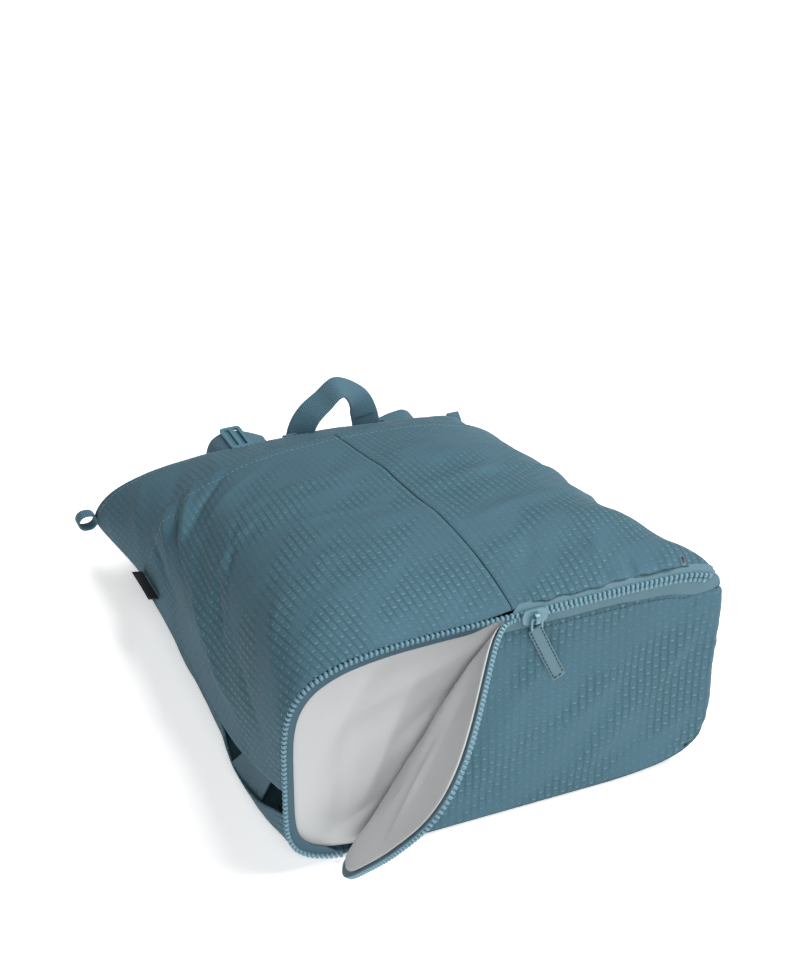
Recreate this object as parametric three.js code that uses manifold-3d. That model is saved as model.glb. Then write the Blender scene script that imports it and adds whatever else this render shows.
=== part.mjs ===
// A soft backpack purse that lies on its back, front side up, with its zipped base half open.
// X runs along the base's width, Y from the base to the top edge, and Z up from the floor.
import * as THREE from "three";
import Module from "manifold-3d";
import { mergeVertices } from "three/addons/utils/BufferGeometryUtils.js";

const { clamp, degToRad, lerp, smoothstep } = THREE.MathUtils;
const wasm = await Module();
wasm.setup();

// Main sizes in millimetres
const BAG_LENGTH = 401;
const HEM_ALONG = 293;
const TOP_HALF_WIDTH = 151;
const BASE_TOP = 153;
const BASE_BOTTOM = 1.2;
const REST_ALONG = 120;
const WALL = 1.5;
const GAP = 0.4;

// Cross-sections of the bag from the base to the top corners: half width on the left and right,
// height of the crown and of the side seam, squareness of the arch on the left and right
const SECTIONS = [
  { along: 0, half: 151, halfRight: 145, crown: BASE_TOP, seam: 64, square: 4.7, squareRight: 8.5 },
  { along: 35, half: 151.5, halfRight: 149, crown: 162, seam: 53, square: 4.2, squareRight: 5.2 },
  { along: 80, half: 151, halfRight: 150, crown: 164, seam: 40, square: 3.6, squareRight: 3.75 },
  { along: 126, half: 149, halfRight: 149, crown: 158, seam: 33, square: 3.3, squareRight: 3.3 },
  { along: 200, half: 147, halfRight: 147, crown: 146, seam: 36, square: 3.05, squareRight: 3.05 },
  { along: HEM_ALONG, half: 147, halfRight: 147, crown: 125, seam: 40, square: 2.65, squareRight: 2.6 },
  { along: BAG_LENGTH, half: 151, halfRight: 151, crown: 91, seam: 36, square: 2.6, squareRight: 2.15 },
];

// The outer back's side edges: drop below the side seam, which opens the slits, and squareness
const BACK_EDGES = [
  { along: 0, drop: 17, square: 5 },
  { along: 17, drop: 20, square: 5.5 },
  { along: 48, drop: 28, square: 7 },
  { along: 86, drop: 31, square: 8 },
  { along: 113, drop: 29, square: 8 },
  { along: 140, drop: 1.6, square: 7 },
  { along: 300, drop: 4.2, square: 4 },
];

// Soft folds of the front cover: place across (-1 to 1) and along, half length, half width,
// lean from the across direction in degrees, and height
const COVER_FOLDS = [
  { across: 0.25, along: 205, length: 90, width: 17, lean: 8, height: 2.6 },
  { across: -0.2, along: 122, length: 85, width: 18, lean: -10, height: 2.4 },
  { across: 0.42, along: 72, length: 60, width: 18, lean: 12, height: 2.2 },
  { across: -0.6, along: 225, length: 60, width: 17, lean: 62, height: -3.5 },
  { across: -0.76, along: 205, length: 60, width: 17, lean: 74, height: 3 },
  { across: -0.72, along: 95, length: 70, width: 24, lean: 82, height: -3.5 },
  { across: 0.74, along: 120, length: 90, width: 24, lean: 86, height: -3 },
];

// Diagonal folds of the base panel: place on the base, half length, half width, lean and height
const BASE_FOLDS = [
  { x: 62, z: 84, length: 70, width: 15, lean: 50, height: 3.4 },
  { x: 30, z: 62, length: 60, width: 13, lean: 46, height: -2.2 },
  { x: 104, z: 76, length: 60, width: 14, lean: 56, height: -2.4 },
  { x: -18, z: 40, length: 55, width: 14, lean: 40, height: 2.4 },
];

// Top edge: how far its middle is drawn in, its twist from side to side and the mouth's width
const TOP_DIP = 43;
const TOP_DIP_POWER = 2.2;
const TOP_TWIST = 8;
const TWIST_START = 250;
const MOUTH_GAP = 14;
const COLLAR_START = 268;

// The base door folds out about a line from the zip's slider to the zip's left end
const SLIDER_X = 2;
const ZIP_END_X = 112;
const ZIP_FOOT = 18;
const FOLD_END_X = 102;
const FLAP_BEND = { top: degToRad(70), bottom: degToRad(65), from: 50, to: 190 };
const FLAP_SOFTNESS = 8;
const FLAP_LIFT = 9;
const FLAP_LIFT_OUT = 22;
const FLAP_LIFT_HIGH = 60;

// Zip: insets of tapes and teeth from the rim, and their heights out of the base's plane
const TEETH_WIDTH = 2.9;
const TEETH_LOW = 1.3;
const TEETH_HIGH = 4.2;
const BODY_TEETH = 0.3;
const FLAP_TEETH = 3.6;
const BODY_TAPE_CLOSED = { outer: -4, inner: 1.2 };
const BODY_TAPE_OPEN = { outer: 0.6, inner: 8.6 };
const PUFF_LOW = 150;
const FLAP_TAPE_OUTER = 2.1;
const PANEL_INSET = 13.5;
const PANEL_CORNER_INSET = 7;
const PANEL_BOTTOM_INSET = 0.8;
const PANEL_THICK = 1.5;
const PANEL_LOW = 0.1;

// Webbing
const WEBBING_WIDTH = 25;
const WEBBING_THICK = 1.8;

// Looks of the sub-parts
const LOOKS = {
  shell: { color: 0x4d7080, roughness: 0.75 },
  lining: { color: 0xb8bab9, roughness: 0.6 },
  dark: { color: 0x1d2326, roughness: 0.9 },
  tape: { color: 0x4f7c90, roughness: 0.8 },
  teeth: { color: 0x6295ab, roughness: 0.45 },
  slider: { color: 0x4f7d90, roughness: 0.4 },
  webbing: { color: 0x4a7688, roughness: 0.8 },
  label: { color: 0x16171a, roughness: 0.7 },
};

const bag = new THREE.Group();
bag.position.y = -REST_ALONG;

function addMesh(name, look, geometry, parent = bag) {
  const material = new THREE.MeshStandardMaterial({ metalness: 0, ...LOOKS[look] });
  const mesh = new THREE.Mesh(geometry, material);
  mesh.name = name;
  parent.add(mesh);
  return mesh;
}

// A closed surface from points and triangles, turned so that its faces point out
function closedGeometry(points, triangles) {
  const volume = triangles.reduce((sum, [a, b, c]) => {
    const normal = new THREE.Vector3().crossVectors(points[b], points[c]);
    return sum + points[a].dot(normal);
  }, 0);
  const facing = volume < 0 ? triangles.map(([a, b, c]) => [a, c, b]) : triangles;
  const geometry = new THREE.BufferGeometry().setFromPoints(points);
  geometry.setIndex(facing.flat());
  geometry.computeVertexNormals();
  return geometry;
}

function quad(a, b, c, d) {
  return [
    [a, b, c],
    [a, c, d],
  ];
}

// A wall between two grids of points with the same rows and columns
function wallGeometry(outer, inner) {
  const rows = outer.length;
  const columns = outer[0].length;
  const points = [...outer.flat(), ...inner.flat()];
  const out = (i, j) => i * columns + j;
  const back = (i, j) => rows * columns + i * columns + j;
  const triangles = [];
  for (let i = 0; i < rows - 1; i += 1) {
    for (let j = 0; j < columns - 1; j += 1) {
      triangles.push(...quad(out(i, j), out(i, j + 1), out(i + 1, j + 1), out(i + 1, j)));
      triangles.push(...quad(back(i, j), back(i + 1, j), back(i + 1, j + 1), back(i, j + 1)));
    }
    triangles.push(...quad(out(i, 0), out(i + 1, 0), back(i + 1, 0), back(i, 0)));
    const e = columns - 1;
    triangles.push(...quad(out(i, e), back(i, e), back(i + 1, e), out(i + 1, e)));
  }
  const last = rows - 1;
  for (let j = 0; j < columns - 1; j += 1) {
    triangles.push(...quad(out(0, j), back(0, j), back(0, j + 1), out(0, j + 1)));
    triangles.push(...quad(out(last, j), out(last, j + 1), back(last, j + 1), back(last, j)));
  }
  return closedGeometry(points, triangles);
}

// Even steps from 0 to 1
function evenStops(steps) {
  return Array.from({ length: steps + 1 }, (_, i) => i / steps);
}

// Points of a surface of two parameters, each from 0 to 1
function gridOf(surface, columns, rows) {
  return evenStops(rows).map((t) => evenStops(columns).map((s) => surface(s, t)));
}

// A cloth wall whose outer face is a surface and whose inner face is moved along its normals
function clothWall(surface, columns, rows, wall) {
  const outer = gridOf(surface, columns, rows);
  const at = (i, j) => outer[clamp(i, 0, rows)][clamp(j, 0, columns)];
  const inner = outer.map((row, i) =>
    row.map((point, j) => {
      const across = new THREE.Vector3().subVectors(at(i, j + 1), at(i, j - 1));
      const up = new THREE.Vector3().subVectors(at(i + 1, j), at(i - 1, j));
      const normal = across.cross(up).normalize();
      return point.clone().addScaledVector(normal, -wall);
    }),
  );
  return wallGeometry(outer, inner);
}

// A strip of four-cornered rings, closed at both ends
function sweep(rings) {
  const points = rings.flat();
  const triangles = [];
  for (let i = 0; i < rings.length - 1; i += 1) {
    for (let k = 0; k < 4; k += 1) {
      const a = 4 * i + k;
      const b = 4 * i + ((k + 1) % 4);
      triangles.push(...quad(a, b, b + 4, a + 4));
    }
  }
  const end = 4 * (rings.length - 1);
  triangles.push(...quad(3, 2, 1, 0), ...quad(end, end + 1, end + 2, end + 3));
  return closedGeometry(points, triangles);
}

// A webbing band along a curve, with its width along a direction given for each place on it
function band(curve, steps, widthAt, width = WEBBING_WIDTH, thick = WEBBING_THICK) {
  const rings = Array.from({ length: steps + 1 }, (_, i) => {
    const point = curve.getPoint(i / steps);
    const tangent = curve.getTangent(i / steps);
    const normal = tangent.clone().cross(widthAt(i / steps)).normalize();
    const side = normal.clone().cross(tangent).multiplyScalar(width / 2);
    const lift = normal.multiplyScalar(thick / 2);
    return [
      point.clone().add(side).add(lift),
      point.clone().sub(side).add(lift),
      point.clone().sub(side).sub(lift),
      point.clone().add(side).sub(lift),
    ];
  });
  return sweep(rings);
}

// A column's value between the rows of a table, on a smooth curve through the rows
function smoothColumn(table, key, along) {
  const last = table.length - 1;
  const place = clamp(along, table[0].along, table[last].along);
  let i = 0;
  while (i < last - 1 && table[i + 1].along <= place) i += 1;
  const span = table[i + 1].along - table[i].along;
  const t = (place - table[i].along) / span;
  const slope = (k) => {
    const before = table[Math.max(k - 1, 0)];
    const after = table[Math.min(k + 1, last)];
    return ((after[key] - before[key]) / (after.along - before.along)) * span;
  };
  const ease = t * t * (3 - 2 * t);
  const rise = t * (1 - t) * (1 - t) * slope(i) - t * t * (1 - t) * slope(i + 1);
  return lerp(table[i][key], table[i + 1][key], ease) + rise;
}

function sectionAt(along) {
  const value = (key) => smoothColumn(SECTIONS, key, along);
  return {
    half: value("half"),
    halfRight: value("halfRight"),
    crown: value("crown"),
    seam: value("seam"),
    square: value("square"),
    squareRight: value("squareRight"),
  };
}

// Half width and squareness of a section's left or right side
function sideOf(section, across) {
  if (across < 0) return { half: section.half, square: section.square };
  return { half: section.halfRight, square: section.squareRight };
}

// How far a direction is drawn in from a square to a superellipse
function shrinkOf(p, q, square) {
  return (Math.abs(p) ** square + Math.abs(q) ** square) ** (-1 / square);
}

// A point of a superellipse arch, walked by length from its left foot (-1) to its right foot (1).
// An arch may stop at a height above its full foot.
const ARCH_STEPS = 80;
function archPoint({ half, rise, square, stop = 0 }, u) {
  const walk = [{ x: 0, z: rise, length: 0 }];
  for (let i = 1; i <= ARCH_STEPS; i += 1) {
    const turn = (i / ARCH_STEPS) * (Math.PI / 2);
    const shrink = shrinkOf(Math.sin(turn), Math.cos(turn), square);
    let x = half * Math.sin(turn) * shrink;
    let z = rise * Math.max(Math.cos(turn), 0) * shrink;
    const before = walk[walk.length - 1];
    if (z < stop) {
      const cut = (before.z - stop) / (before.z - z);
      x = lerp(before.x, x, cut);
      z = stop;
    }
    walk.push({ x, z, length: before.length + Math.hypot(x - before.x, z - before.z) });
    if (z === stop) break;
  }
  const target = Math.min(Math.abs(u), 1) * walk[walk.length - 1].length;
  let i = 0;
  while (i < walk.length - 2 && walk[i + 1].length < target) i += 1;
  const t = (target - walk[i].length) / (walk[i + 1].length - walk[i].length);
  return { x: Math.sign(u) * lerp(walk[i].x, walk[i + 1].x, t), z: lerp(walk[i].z, walk[i + 1].z, t) };
}

// The top edge's right corner lies higher than its left one
function twist(x, along) {
  return TOP_TWIST * smoothstep(along, TWIST_START, BAG_LENGTH) * (x / TOP_HALF_WIDTH) ** 3;
}

// Height of a table of folds at a place, each fold a soft ridge or valley
function foldHeight(folds, offsetTo) {
  return folds.reduce((sum, fold) => {
    const { across, along } = offsetTo(fold);
    const lean = degToRad(fold.lean);
    const run = across * Math.cos(lean) + along * Math.sin(lean);
    const off = along * Math.cos(lean) - across * Math.sin(lean);
    return sum + fold.height * Math.exp(-((run / fold.length) ** 2) - (off / fold.width) ** 2);
  }, 0);
}

const CLOTH_START = 2 * GAP;

// The base's rim: an upper and a lower superellipse about the side seam's height
const RIM_UP = BASE_TOP - SECTIONS[0].seam;
const RIM_DOWN = SECTIONS[0].seam - BASE_BOTTOM;
const RIM_STEPS = 720;
function rimPoint(p, q, inset = 0) {
  const { half, square } = sideOf(SECTIONS[0], p);
  const shrink = shrinkOf(p, q, q < 0 ? BACK_EDGES[0].square : square);
  const height = (q < 0 ? RIM_DOWN : RIM_UP) - inset;
  return { x: (half - inset) * p * shrink, z: SECTIONS[0].seam + height * q * shrink };
}

function rimAt(turn, inset = 0) {
  return rimPoint(Math.cos(turn), Math.sin(turn), inset);
}

// On the right the zip turns round the corner and runs down the bag's side, behind the door's edge:
// how far back it lies, the edge's rounding, and the heights where it turns at the top and bottom
const SIDE_ZIP = { back: 20, round: 5, topStart: 149, topEnd: 128, footStart: 24, footEnd: 12, ease: 0.3 };
function sideShare({ x, z }) {
  if (x < 0) return 0;
  const turned = 1 - smoothstep(z, SIDE_ZIP.topEnd, SIDE_ZIP.topStart);
  return turned * smoothstep(z, SIDE_ZIP.footEnd, SIDE_ZIP.footStart);
}

// Inset and depth of cloth that is led round the rim by a share, at a height out of its face
function roundRim(share, inset, height, reach = 1) {
  if (share === 0) return { inset, y: -height };
  const round = SIDE_ZIP.round * share;
  const moved = inset - SIDE_ZIP.back * share * reach;
  const over = Math.max(round - moved, 0);
  const turn = Math.min(over / round, Math.PI / 2);
  const beyond = over - round * turn;
  const bentInset = Math.max(moved, round) - (round + height) * Math.sin(turn);
  const bentY = round + beyond - (round + height) * Math.cos(turn);
  const ease = smoothstep(share, 0, SIDE_ZIP.ease);
  return { inset: lerp(inset, bentInset, ease), y: lerp(-height, bentY, ease) };
}

// How far along the bag its cloth starts at a place of the rim
function clothStart(edge) {
  return CLOTH_START + roundRim(sideShare(edge), BODY_TEETH - TEETH_WIDTH / 2, 0).y;
}

// Front cover, in two halves that meet at the centre seam
const COVER_ARC = 240;
const COVER_COLUMNS = 16;
const COVER_ROWS = 15;
const FOLD_FADE_START = 235;
const FOLD_FADE_END = 266;
const RIM_FADE = 25;
const ZIP_PUFF = 5;
const PUFF_START = 0.12;
const PUFF_RUN = 45;
const SEAM_FADE_POWER = 8;
const FOLD_CENTRE = 1 / 3;
function coverPoint(u, along) {
  const section = sectionAt(along);
  const rise = section.crown - section.seam;
  const flat = archPoint({ ...sideOf(section, u), rise }, u);
  const out = new THREE.Vector3(flat.x, 0, flat.z - rise * FOLD_CENTRE).normalize();
  const fade = smoothstep(along, 0, RIM_FADE) * (1 - smoothstep(along, FOLD_FADE_START, FOLD_FADE_END));
  const height = foldHeight(COVER_FOLDS, (fold) => ({
    across: (u - fold.across) * COVER_ARC,
    along: along - fold.along,
  }));
  const puff = ZIP_PUFF * smoothstep(u, -PUFF_START, PUFF_START) * (1 - smoothstep(along, 0, PUFF_RUN));
  const z = section.seam + flat.z * (1 + puff / rise) + twist(flat.x, along);
  const point = new THREE.Vector3(flat.x, along, z);
  return point.addScaledVector(out, height * fade * (1 - u ** SEAM_FADE_POWER));
}

function coverStart(u) {
  const { x, z } = archPoint({ ...sideOf(SECTIONS[0], u), rise: RIM_UP }, u);
  return clothStart({ x, z: SECTIONS[0].seam + z });
}

function coverHalf(from, to) {
  const surface = (s, t) => {
    const u = lerp(from, to, s);
    return coverPoint(u, lerp(coverStart(u), HEM_ALONG, t));
  };
  return clothWall(surface, COVER_COLUMNS, COVER_ROWS, WALL);
}
const SEAM_HALF_GAP = GAP / 2 / COVER_ARC;
addMesh("front_left", "shell", coverHalf(-1, -SEAM_HALF_GAP));
addMesh("front_right", "shell", coverHalf(SEAM_HALF_GAP, 1));

// Collar above the hem and the back wall behind it, which meet at the top corners
function topAlong(u) {
  return BAG_LENGTH - TOP_DIP * (1 - Math.abs(u) ** TOP_DIP_POWER);
}

const COLLAR_TUCK = WALL + GAP + 0.1;
const TUCK = { start: 250, full: 266, ease: 295 };
const COLLAR_GRID = { columns: 26, rows: 7 };
function collarInset(along) {
  const tucked = smoothstep(along, TUCK.start, TUCK.full);
  return COLLAR_TUCK * tucked * (1 - smoothstep(along, TUCK.ease, BAG_LENGTH));
}

function collarPoint(s, t) {
  const u = 2 * s - 1;
  const along = lerp(COLLAR_START, BAG_LENGTH, t);
  const section = sectionAt(along);
  const inset = collarInset(along);
  const rise = section.crown - section.seam - inset;
  const { half, square } = sideOf(section, u);
  const flat = archPoint({ half: half - inset, rise, square }, u);
  const y = lerp(COLLAR_START, topAlong(u), t);
  return new THREE.Vector3(flat.x, y, section.seam + flat.z + twist(flat.x, along));
}
addMesh("collar", "shell", clothWall(collarPoint, COLLAR_GRID.columns, COLLAR_GRID.rows, WALL));

const BACK_WALL_START = 36;
const BACK_WALL_CROWN = 2;
const BACK_WALL_LIFT = 290;
const BACK_WALL_INSET = WALL + GAP + 0.2;
const BACK_WALL_GRID = { columns: 18, rows: 13 };
function backWallPoint(s, t) {
  const u = 2 * s - 1;
  const along = lerp(BACK_WALL_START, BAG_LENGTH, t);
  const section = sectionAt(along);
  const topRise = SECTIONS.at(-1).crown - SECTIONS.at(-1).seam - MOUTH_GAP;
  const rise = lerp(BACK_WALL_CROWN, topRise, smoothstep(along, BACK_WALL_LIFT, BAG_LENGTH));
  const { half, square } = sideOf(section, u);
  const inset = collarInset(along) + BACK_WALL_INSET;
  const flat = archPoint({ half: half - inset, rise, square }, u);
  const y = lerp(BACK_WALL_START, topAlong(u), t);
  return new THREE.Vector3(flat.x, y, section.seam + flat.z + twist(flat.x, along));
}
addMesh("back_wall", "dark", clothWall(backWallPoint, BACK_WALL_GRID.columns, BACK_WALL_GRID.rows, WALL));

// Outer back: flat on the floor, turned up at its sides, drawn up to the back wall near the top
const BACK_PANEL_WALL = 1.8;
const BACK_PANEL_END = 300;
const BACK_PANEL_LIFT = 225;
const BACK_PANEL_MEET = 7;
const FLATTEN = 0.4;
const BACK_PANEL_GRID = { columns: 22, rows: 16 };
function backStart(u) {
  const { half } = sideOf(SECTIONS[0], u);
  const { drop, square } = BACK_EDGES[0];
  const { x, z } = archPoint({ half, rise: SECTIONS[0].seam, square, stop: drop }, u);
  return clothStart({ x, z: SECTIONS[0].seam - z });
}

function backPanelPoint(s, t) {
  const u = 2 * s - 1;
  const along = lerp(backStart(u), BACK_PANEL_END, t);
  const section = sectionAt(along);
  const { half } = sideOf(section, u);
  const { seam } = section;
  const least = BACK_EDGES.at(-2).drop;
  const drop = Math.max(smoothColumn(BACK_EDGES, "drop", along), least);
  const square = smoothColumn(BACK_EDGES, "square", along);
  const floor = (seam - BACK_PANEL_MEET) * smoothstep(along, BACK_PANEL_LIFT, BACK_PANEL_END);
  const flat = archPoint({ half, rise: seam - floor, square, stop: drop }, u);
  const z = Math.max(seam - flat.z - FLATTEN, floor);
  return new THREE.Vector3(flat.x, along, z + twist(flat.x, along));
}
const { columns: backColumns, rows: backRows } = BACK_PANEL_GRID;
addMesh("back_panel", "shell", clothWall(backPanelPoint, backColumns, backRows, -BACK_PANEL_WALL));

// The zip's way along the rim by length, from its right end over the top to its left end
const zipWay = [];
for (let i = 0; i <= RIM_STEPS; i += 1) {
  const turn = lerp(-Math.PI / 2, (3 * Math.PI) / 2, i / RIM_STEPS);
  const point = rimAt(turn);
  const low = point.z < SECTIONS[0].seam / 2;
  if (low && Math.abs(point.x) < ZIP_END_X) continue;
  if (point.x > 0 && point.z < ZIP_FOOT) continue;
  const before = zipWay.at(-1);
  const step = before ? Math.hypot(point.x - before.x, point.z - before.z) : 0;
  zipWay.push({ ...point, turn, length: (before ? before.length : 0) + step });
}

function zipTurn(s) {
  const target = s * zipWay.at(-1).length;
  let i = 0;
  while (i < zipWay.length - 2 && zipWay[i + 1].length < target) i += 1;
  const t = (target - zipWay[i].length) / (zipWay[i + 1].length - zipWay[i].length);
  return lerp(zipWay[i].turn, zipWay[i + 1].turn, t);
}

const sliderRow = zipWay.find((row) => row.z > BASE_TOP / 2 && row.x < SLIDER_X);
const SLIDER_S = sliderRow.length / zipWay.at(-1).length;
const OPENING_START = 0.012;
const OPENING_RUN = 0.05;
const CLOSING_RUN = 0.04;
function openShare(s) {
  const start = SLIDER_S + OPENING_START;
  return smoothstep(s, start, start + OPENING_RUN) * (1 - smoothstep(s, 1 - CLOSING_RUN, 1));
}

// A place on the base door, at a height out of its face, after its corner is folded out.
// The bend grows softly with the distance from the fold line.
const foldStart = new THREE.Vector2(SLIDER_X, BASE_TOP);
const foldRun = new THREE.Vector2(-FOLD_END_X, BASE_BOTTOM).sub(foldStart).normalize();
const foldAway = new THREE.Vector2(foldRun.y, -foldRun.x);
const BEND_STEPS = 40;
function foldOut(x, z, height) {
  const place = new THREE.Vector2(x, z).sub(foldStart);
  const run = place.dot(foldRun);
  const away = place.dot(foldAway);
  if (away <= 0) return new THREE.Vector3(x, -height, z);
  let reach = 0;
  let out = 0;
  const full = lerp(FLAP_BEND.top, FLAP_BEND.bottom, smoothstep(run, FLAP_BEND.from, FLAP_BEND.to));
  const bendAt = (d) => full * (1 - Math.exp(-d / FLAP_SOFTNESS));
  for (let i = 0; i < BEND_STEPS; i += 1) {
    const bend = bendAt(((i + 0.5) / BEND_STEPS) * away);
    reach += (Math.cos(bend) * away) / BEND_STEPS;
    out += (Math.sin(bend) * away) / BEND_STEPS;
  }
  const bend = bendAt(away);
  reach -= Math.sin(bend) * height;
  out += Math.cos(bend) * height;
  const flat = foldStart.clone().addScaledVector(foldRun, run).addScaledVector(foldAway, reach);
  const lift = smoothstep(out, 0, FLAP_LIFT_OUT) * (1 - smoothstep(flat.y, 0, FLAP_LIFT_HIGH));
  return new THREE.Vector3(flat.x, -out, flat.y + FLAP_LIFT * lift);
}

// Inset of the base door's cloth from the rim: tape at the top and sides, none at the sewn bottom
const SEWN_HALF = 96;
const CORNER_HIGH = 45;
const CORNER_LOW = 12;
function panelInset({ x, z }) {
  if (z < CORNER_LOW && x > -SEWN_HALF) return PANEL_BOTTOM_INSET;
  return lerp(PANEL_CORNER_INSET, PANEL_INSET, smoothstep(z, CORNER_LOW, CORNER_HIGH));
}

// A point of the base from a square of -1 to 1 each way, drawn to the rim's shape
function basePoint(p, q, insetOf) {
  const reach = Math.max(Math.abs(p), Math.abs(q));
  if (reach === 0) return { x: 0, z: SECTIONS[0].seam, reach };
  const edge = rimPoint(p / reach, q / reach);
  const { x, z } = rimPoint(p / reach, q / reach, insetOf(edge));
  return { x: x * reach, z: lerp(SECTIONS[0].seam, z, reach), reach };
}

const EDGE_FADE_POWER = 4;
function doorPoint(s, t, { level, inset, sideInset, folds }) {
  const p = 2 * s - 1;
  const q = 2 * t - 1;
  const insetOf = (edge) =>
    panelInset(edge) + inset + sideInset * smoothstep(sideShare(edge), 0, SIDE_ZIP.ease);
  const { x, z, reach } = basePoint(p, q, insetOf);
  const fold = foldHeight(folds, (row) => ({ across: x - row.x, along: z - row.z }));
  const height = level + Math.max(fold, 0) * (1 - reach ** EDGE_FADE_POWER);
  const edge = rimPoint(p / reach, q / reach);
  const share = reach > 0 ? sideShare(edge) : 0;
  if (share === 0) return foldOut(x, z, height);
  const { half } = sideOf(SECTIONS[0], p);
  const bent = roundRim(share, half - reach * (half - insetOf(edge)), height, reach);
  const outer = roundRim(share, insetOf(edge), height);
  const bentX = rimPoint(p / reach, q / reach, bent.inset).x;
  const edgeZ = rimPoint(p / reach, q / reach, outer.inset).z;
  return new THREE.Vector3(bentX, bent.y, lerp(SECTIONS[0].seam, edgeZ, reach));
}

// The base door and its lining
const DOOR_STEPS = 20;
const DOOR_STEP = 0.045;
const DOOR_ROWS = 10;
const ROUNDED_STOPS = [0.95, 0.9625, 0.971, 0.9795, 0.988, 1];
const CORNER_STOP = 0.95;
const acrossStops = [...evenStops(DOOR_STEPS).map((s) => s * DOOR_STEPS * DOOR_STEP), ...ROUNDED_STOPS];
const upStops = [...evenStops(DOOR_ROWS), CORNER_STOP].sort((a, b) => a - b);
function doorLayer(layer) {
  return upStops.map((t) => acrossStops.map((s) => doorPoint(s, t, layer)));
}
const panelLayer = (level) => doorLayer({ level, inset: 0, sideInset: 0, folds: BASE_FOLDS });
addMesh("base_panel", "shell", wallGeometry(panelLayer(PANEL_THICK), panelLayer(PANEL_LOW)));
const LINING_INSET = 2;
const LINING_TOP = -0.6;
const LINING_BOTTOM = -1.5;
const LINING_SIDE_INSET = 18;
const liningLayer = (level) =>
  doorLayer({ level, inset: LINING_INSET, sideInset: LINING_SIDE_INSET, folds: [] });
addMesh("flap_lining", "lining", wallGeometry(liningLayer(LINING_TOP), liningLayer(LINING_BOTTOM)));

// Zip strips: a tape and a row of teeth on the bag and on the door
const ZIP_STEPS = 56;
const SLIDER_STOPS = [-0.012, -0.004, 0.004, 0.012];
const sliderStops = SLIDER_STOPS.map((offset) => SLIDER_S + offset);
const zipStops = [...evenStops(ZIP_STEPS), ...sliderStops].sort((a, b) => a - b);
function zipStrip(insets, low, high, place) {
  const rings = zipStops.map((s) => {
    const turn = zipTurn(s);
    const [near, far] = insets(s, rimAt(turn));
    const share = sideShare(rimAt(turn));
    const corner = (inset, height) => {
      const bent = roundRim(share, inset, height);
      const { x, z } = rimAt(turn, bent.inset);
      return share > 0 ? new THREE.Vector3(x, bent.y, z) : place(x, z, height);
    };
    return [corner(near, high), corner(far, high), corner(far, low), corner(near, low)];
  });
  return sweep(rings);
}

const onBag = (x, z, height) => new THREE.Vector3(x, -height, z);
const around = (middle) => [middle - TEETH_WIDTH / 2, middle + TEETH_WIDTH / 2];
function bodyTapeInsets(s, edge) {
  const raised = smoothstep(edge.z, PUFF_LOW, BASE_TOP);
  const closedOuter = lerp(BODY_TAPE_OPEN.outer, BODY_TAPE_CLOSED.outer, raised);
  return [
    lerp(closedOuter, BODY_TAPE_OPEN.outer, openShare(s)),
    lerp(BODY_TAPE_CLOSED.inner, BODY_TAPE_OPEN.inner, openShare(s)),
  ];
}
const bodyTeethInsets = () => around(BODY_TEETH);
const CORNER_SLACK = { from: 112, to: 130, most: 1.8 };
function flapTapeInsets(s, edge) {
  const slack = CORNER_SLACK.most * smoothstep(edge.x, CORNER_SLACK.from, CORNER_SLACK.to);
  return [FLAP_TAPE_OUTER, panelInset(edge) - 1.5 * GAP - slack];
}
const flapTeethInsets = () => around(FLAP_TEETH);
const TAPE_LOW = -0.4;
const TAPE_HIGH = 0.9;
addMesh("tape_body", "tape", zipStrip(bodyTapeInsets, TAPE_LOW, TAPE_HIGH, onBag));
addMesh("teeth_body", "teeth", zipStrip(bodyTeethInsets, TEETH_LOW, TEETH_HIGH, onBag));
addMesh("tape_flap", "tape", zipStrip(flapTapeInsets, PANEL_LOW, TAPE_HIGH, foldOut));
addMesh("teeth_flap", "teeth", zipStrip(flapTeethInsets, TEETH_LOW, TEETH_HIGH, foldOut));

// Grey lining across the base, recessed towards the fold of the open door
const PARTITION_INSET = 7.4;
const PARTITION_SIDE_INSET = 9;
const PARTITION_WALL = 1.2;
const PARTITION_EDGE = 2 * GAP;
const PARTITION_BACKED = 1.2;
const PARTITION_BOWL = 7;
const PARTITION_EDGE_POWER = 3;
const PARTITION_GRID = { columns: 18, rows: 10 };
const RECESS = { x: -48, z: 36, width: 62, height: 52, depth: 20 };
const partitionInset = (edge) => PARTITION_INSET + PARTITION_SIDE_INSET * sideShare(edge);
function partitionPoint(s, t) {
  const { x, z, reach } = basePoint(2 * s - 1, 2 * t - 1, partitionInset);
  const near = ((x - RECESS.x) / RECESS.width) ** 2 + ((z - RECESS.z) / RECESS.height) ** 2;
  const recess = RECESS.depth * Math.exp(-near);
  const covered = Math.max(smoothstep(x, -ZIP_END_X, SLIDER_X), 1 - smoothstep(z, CORNER_LOW, CORNER_HIGH));
  const bowl = (PARTITION_BOWL + recess) * (1 - reach ** PARTITION_EDGE_POWER);
  return new THREE.Vector3(x, PARTITION_EDGE + PARTITION_BACKED * covered + bowl, z);
}
const partition = clothWall(partitionPoint, PARTITION_GRID.columns, PARTITION_GRID.rows, PARTITION_WALL);
addMesh("lining_partition", "lining", partition);

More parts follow.
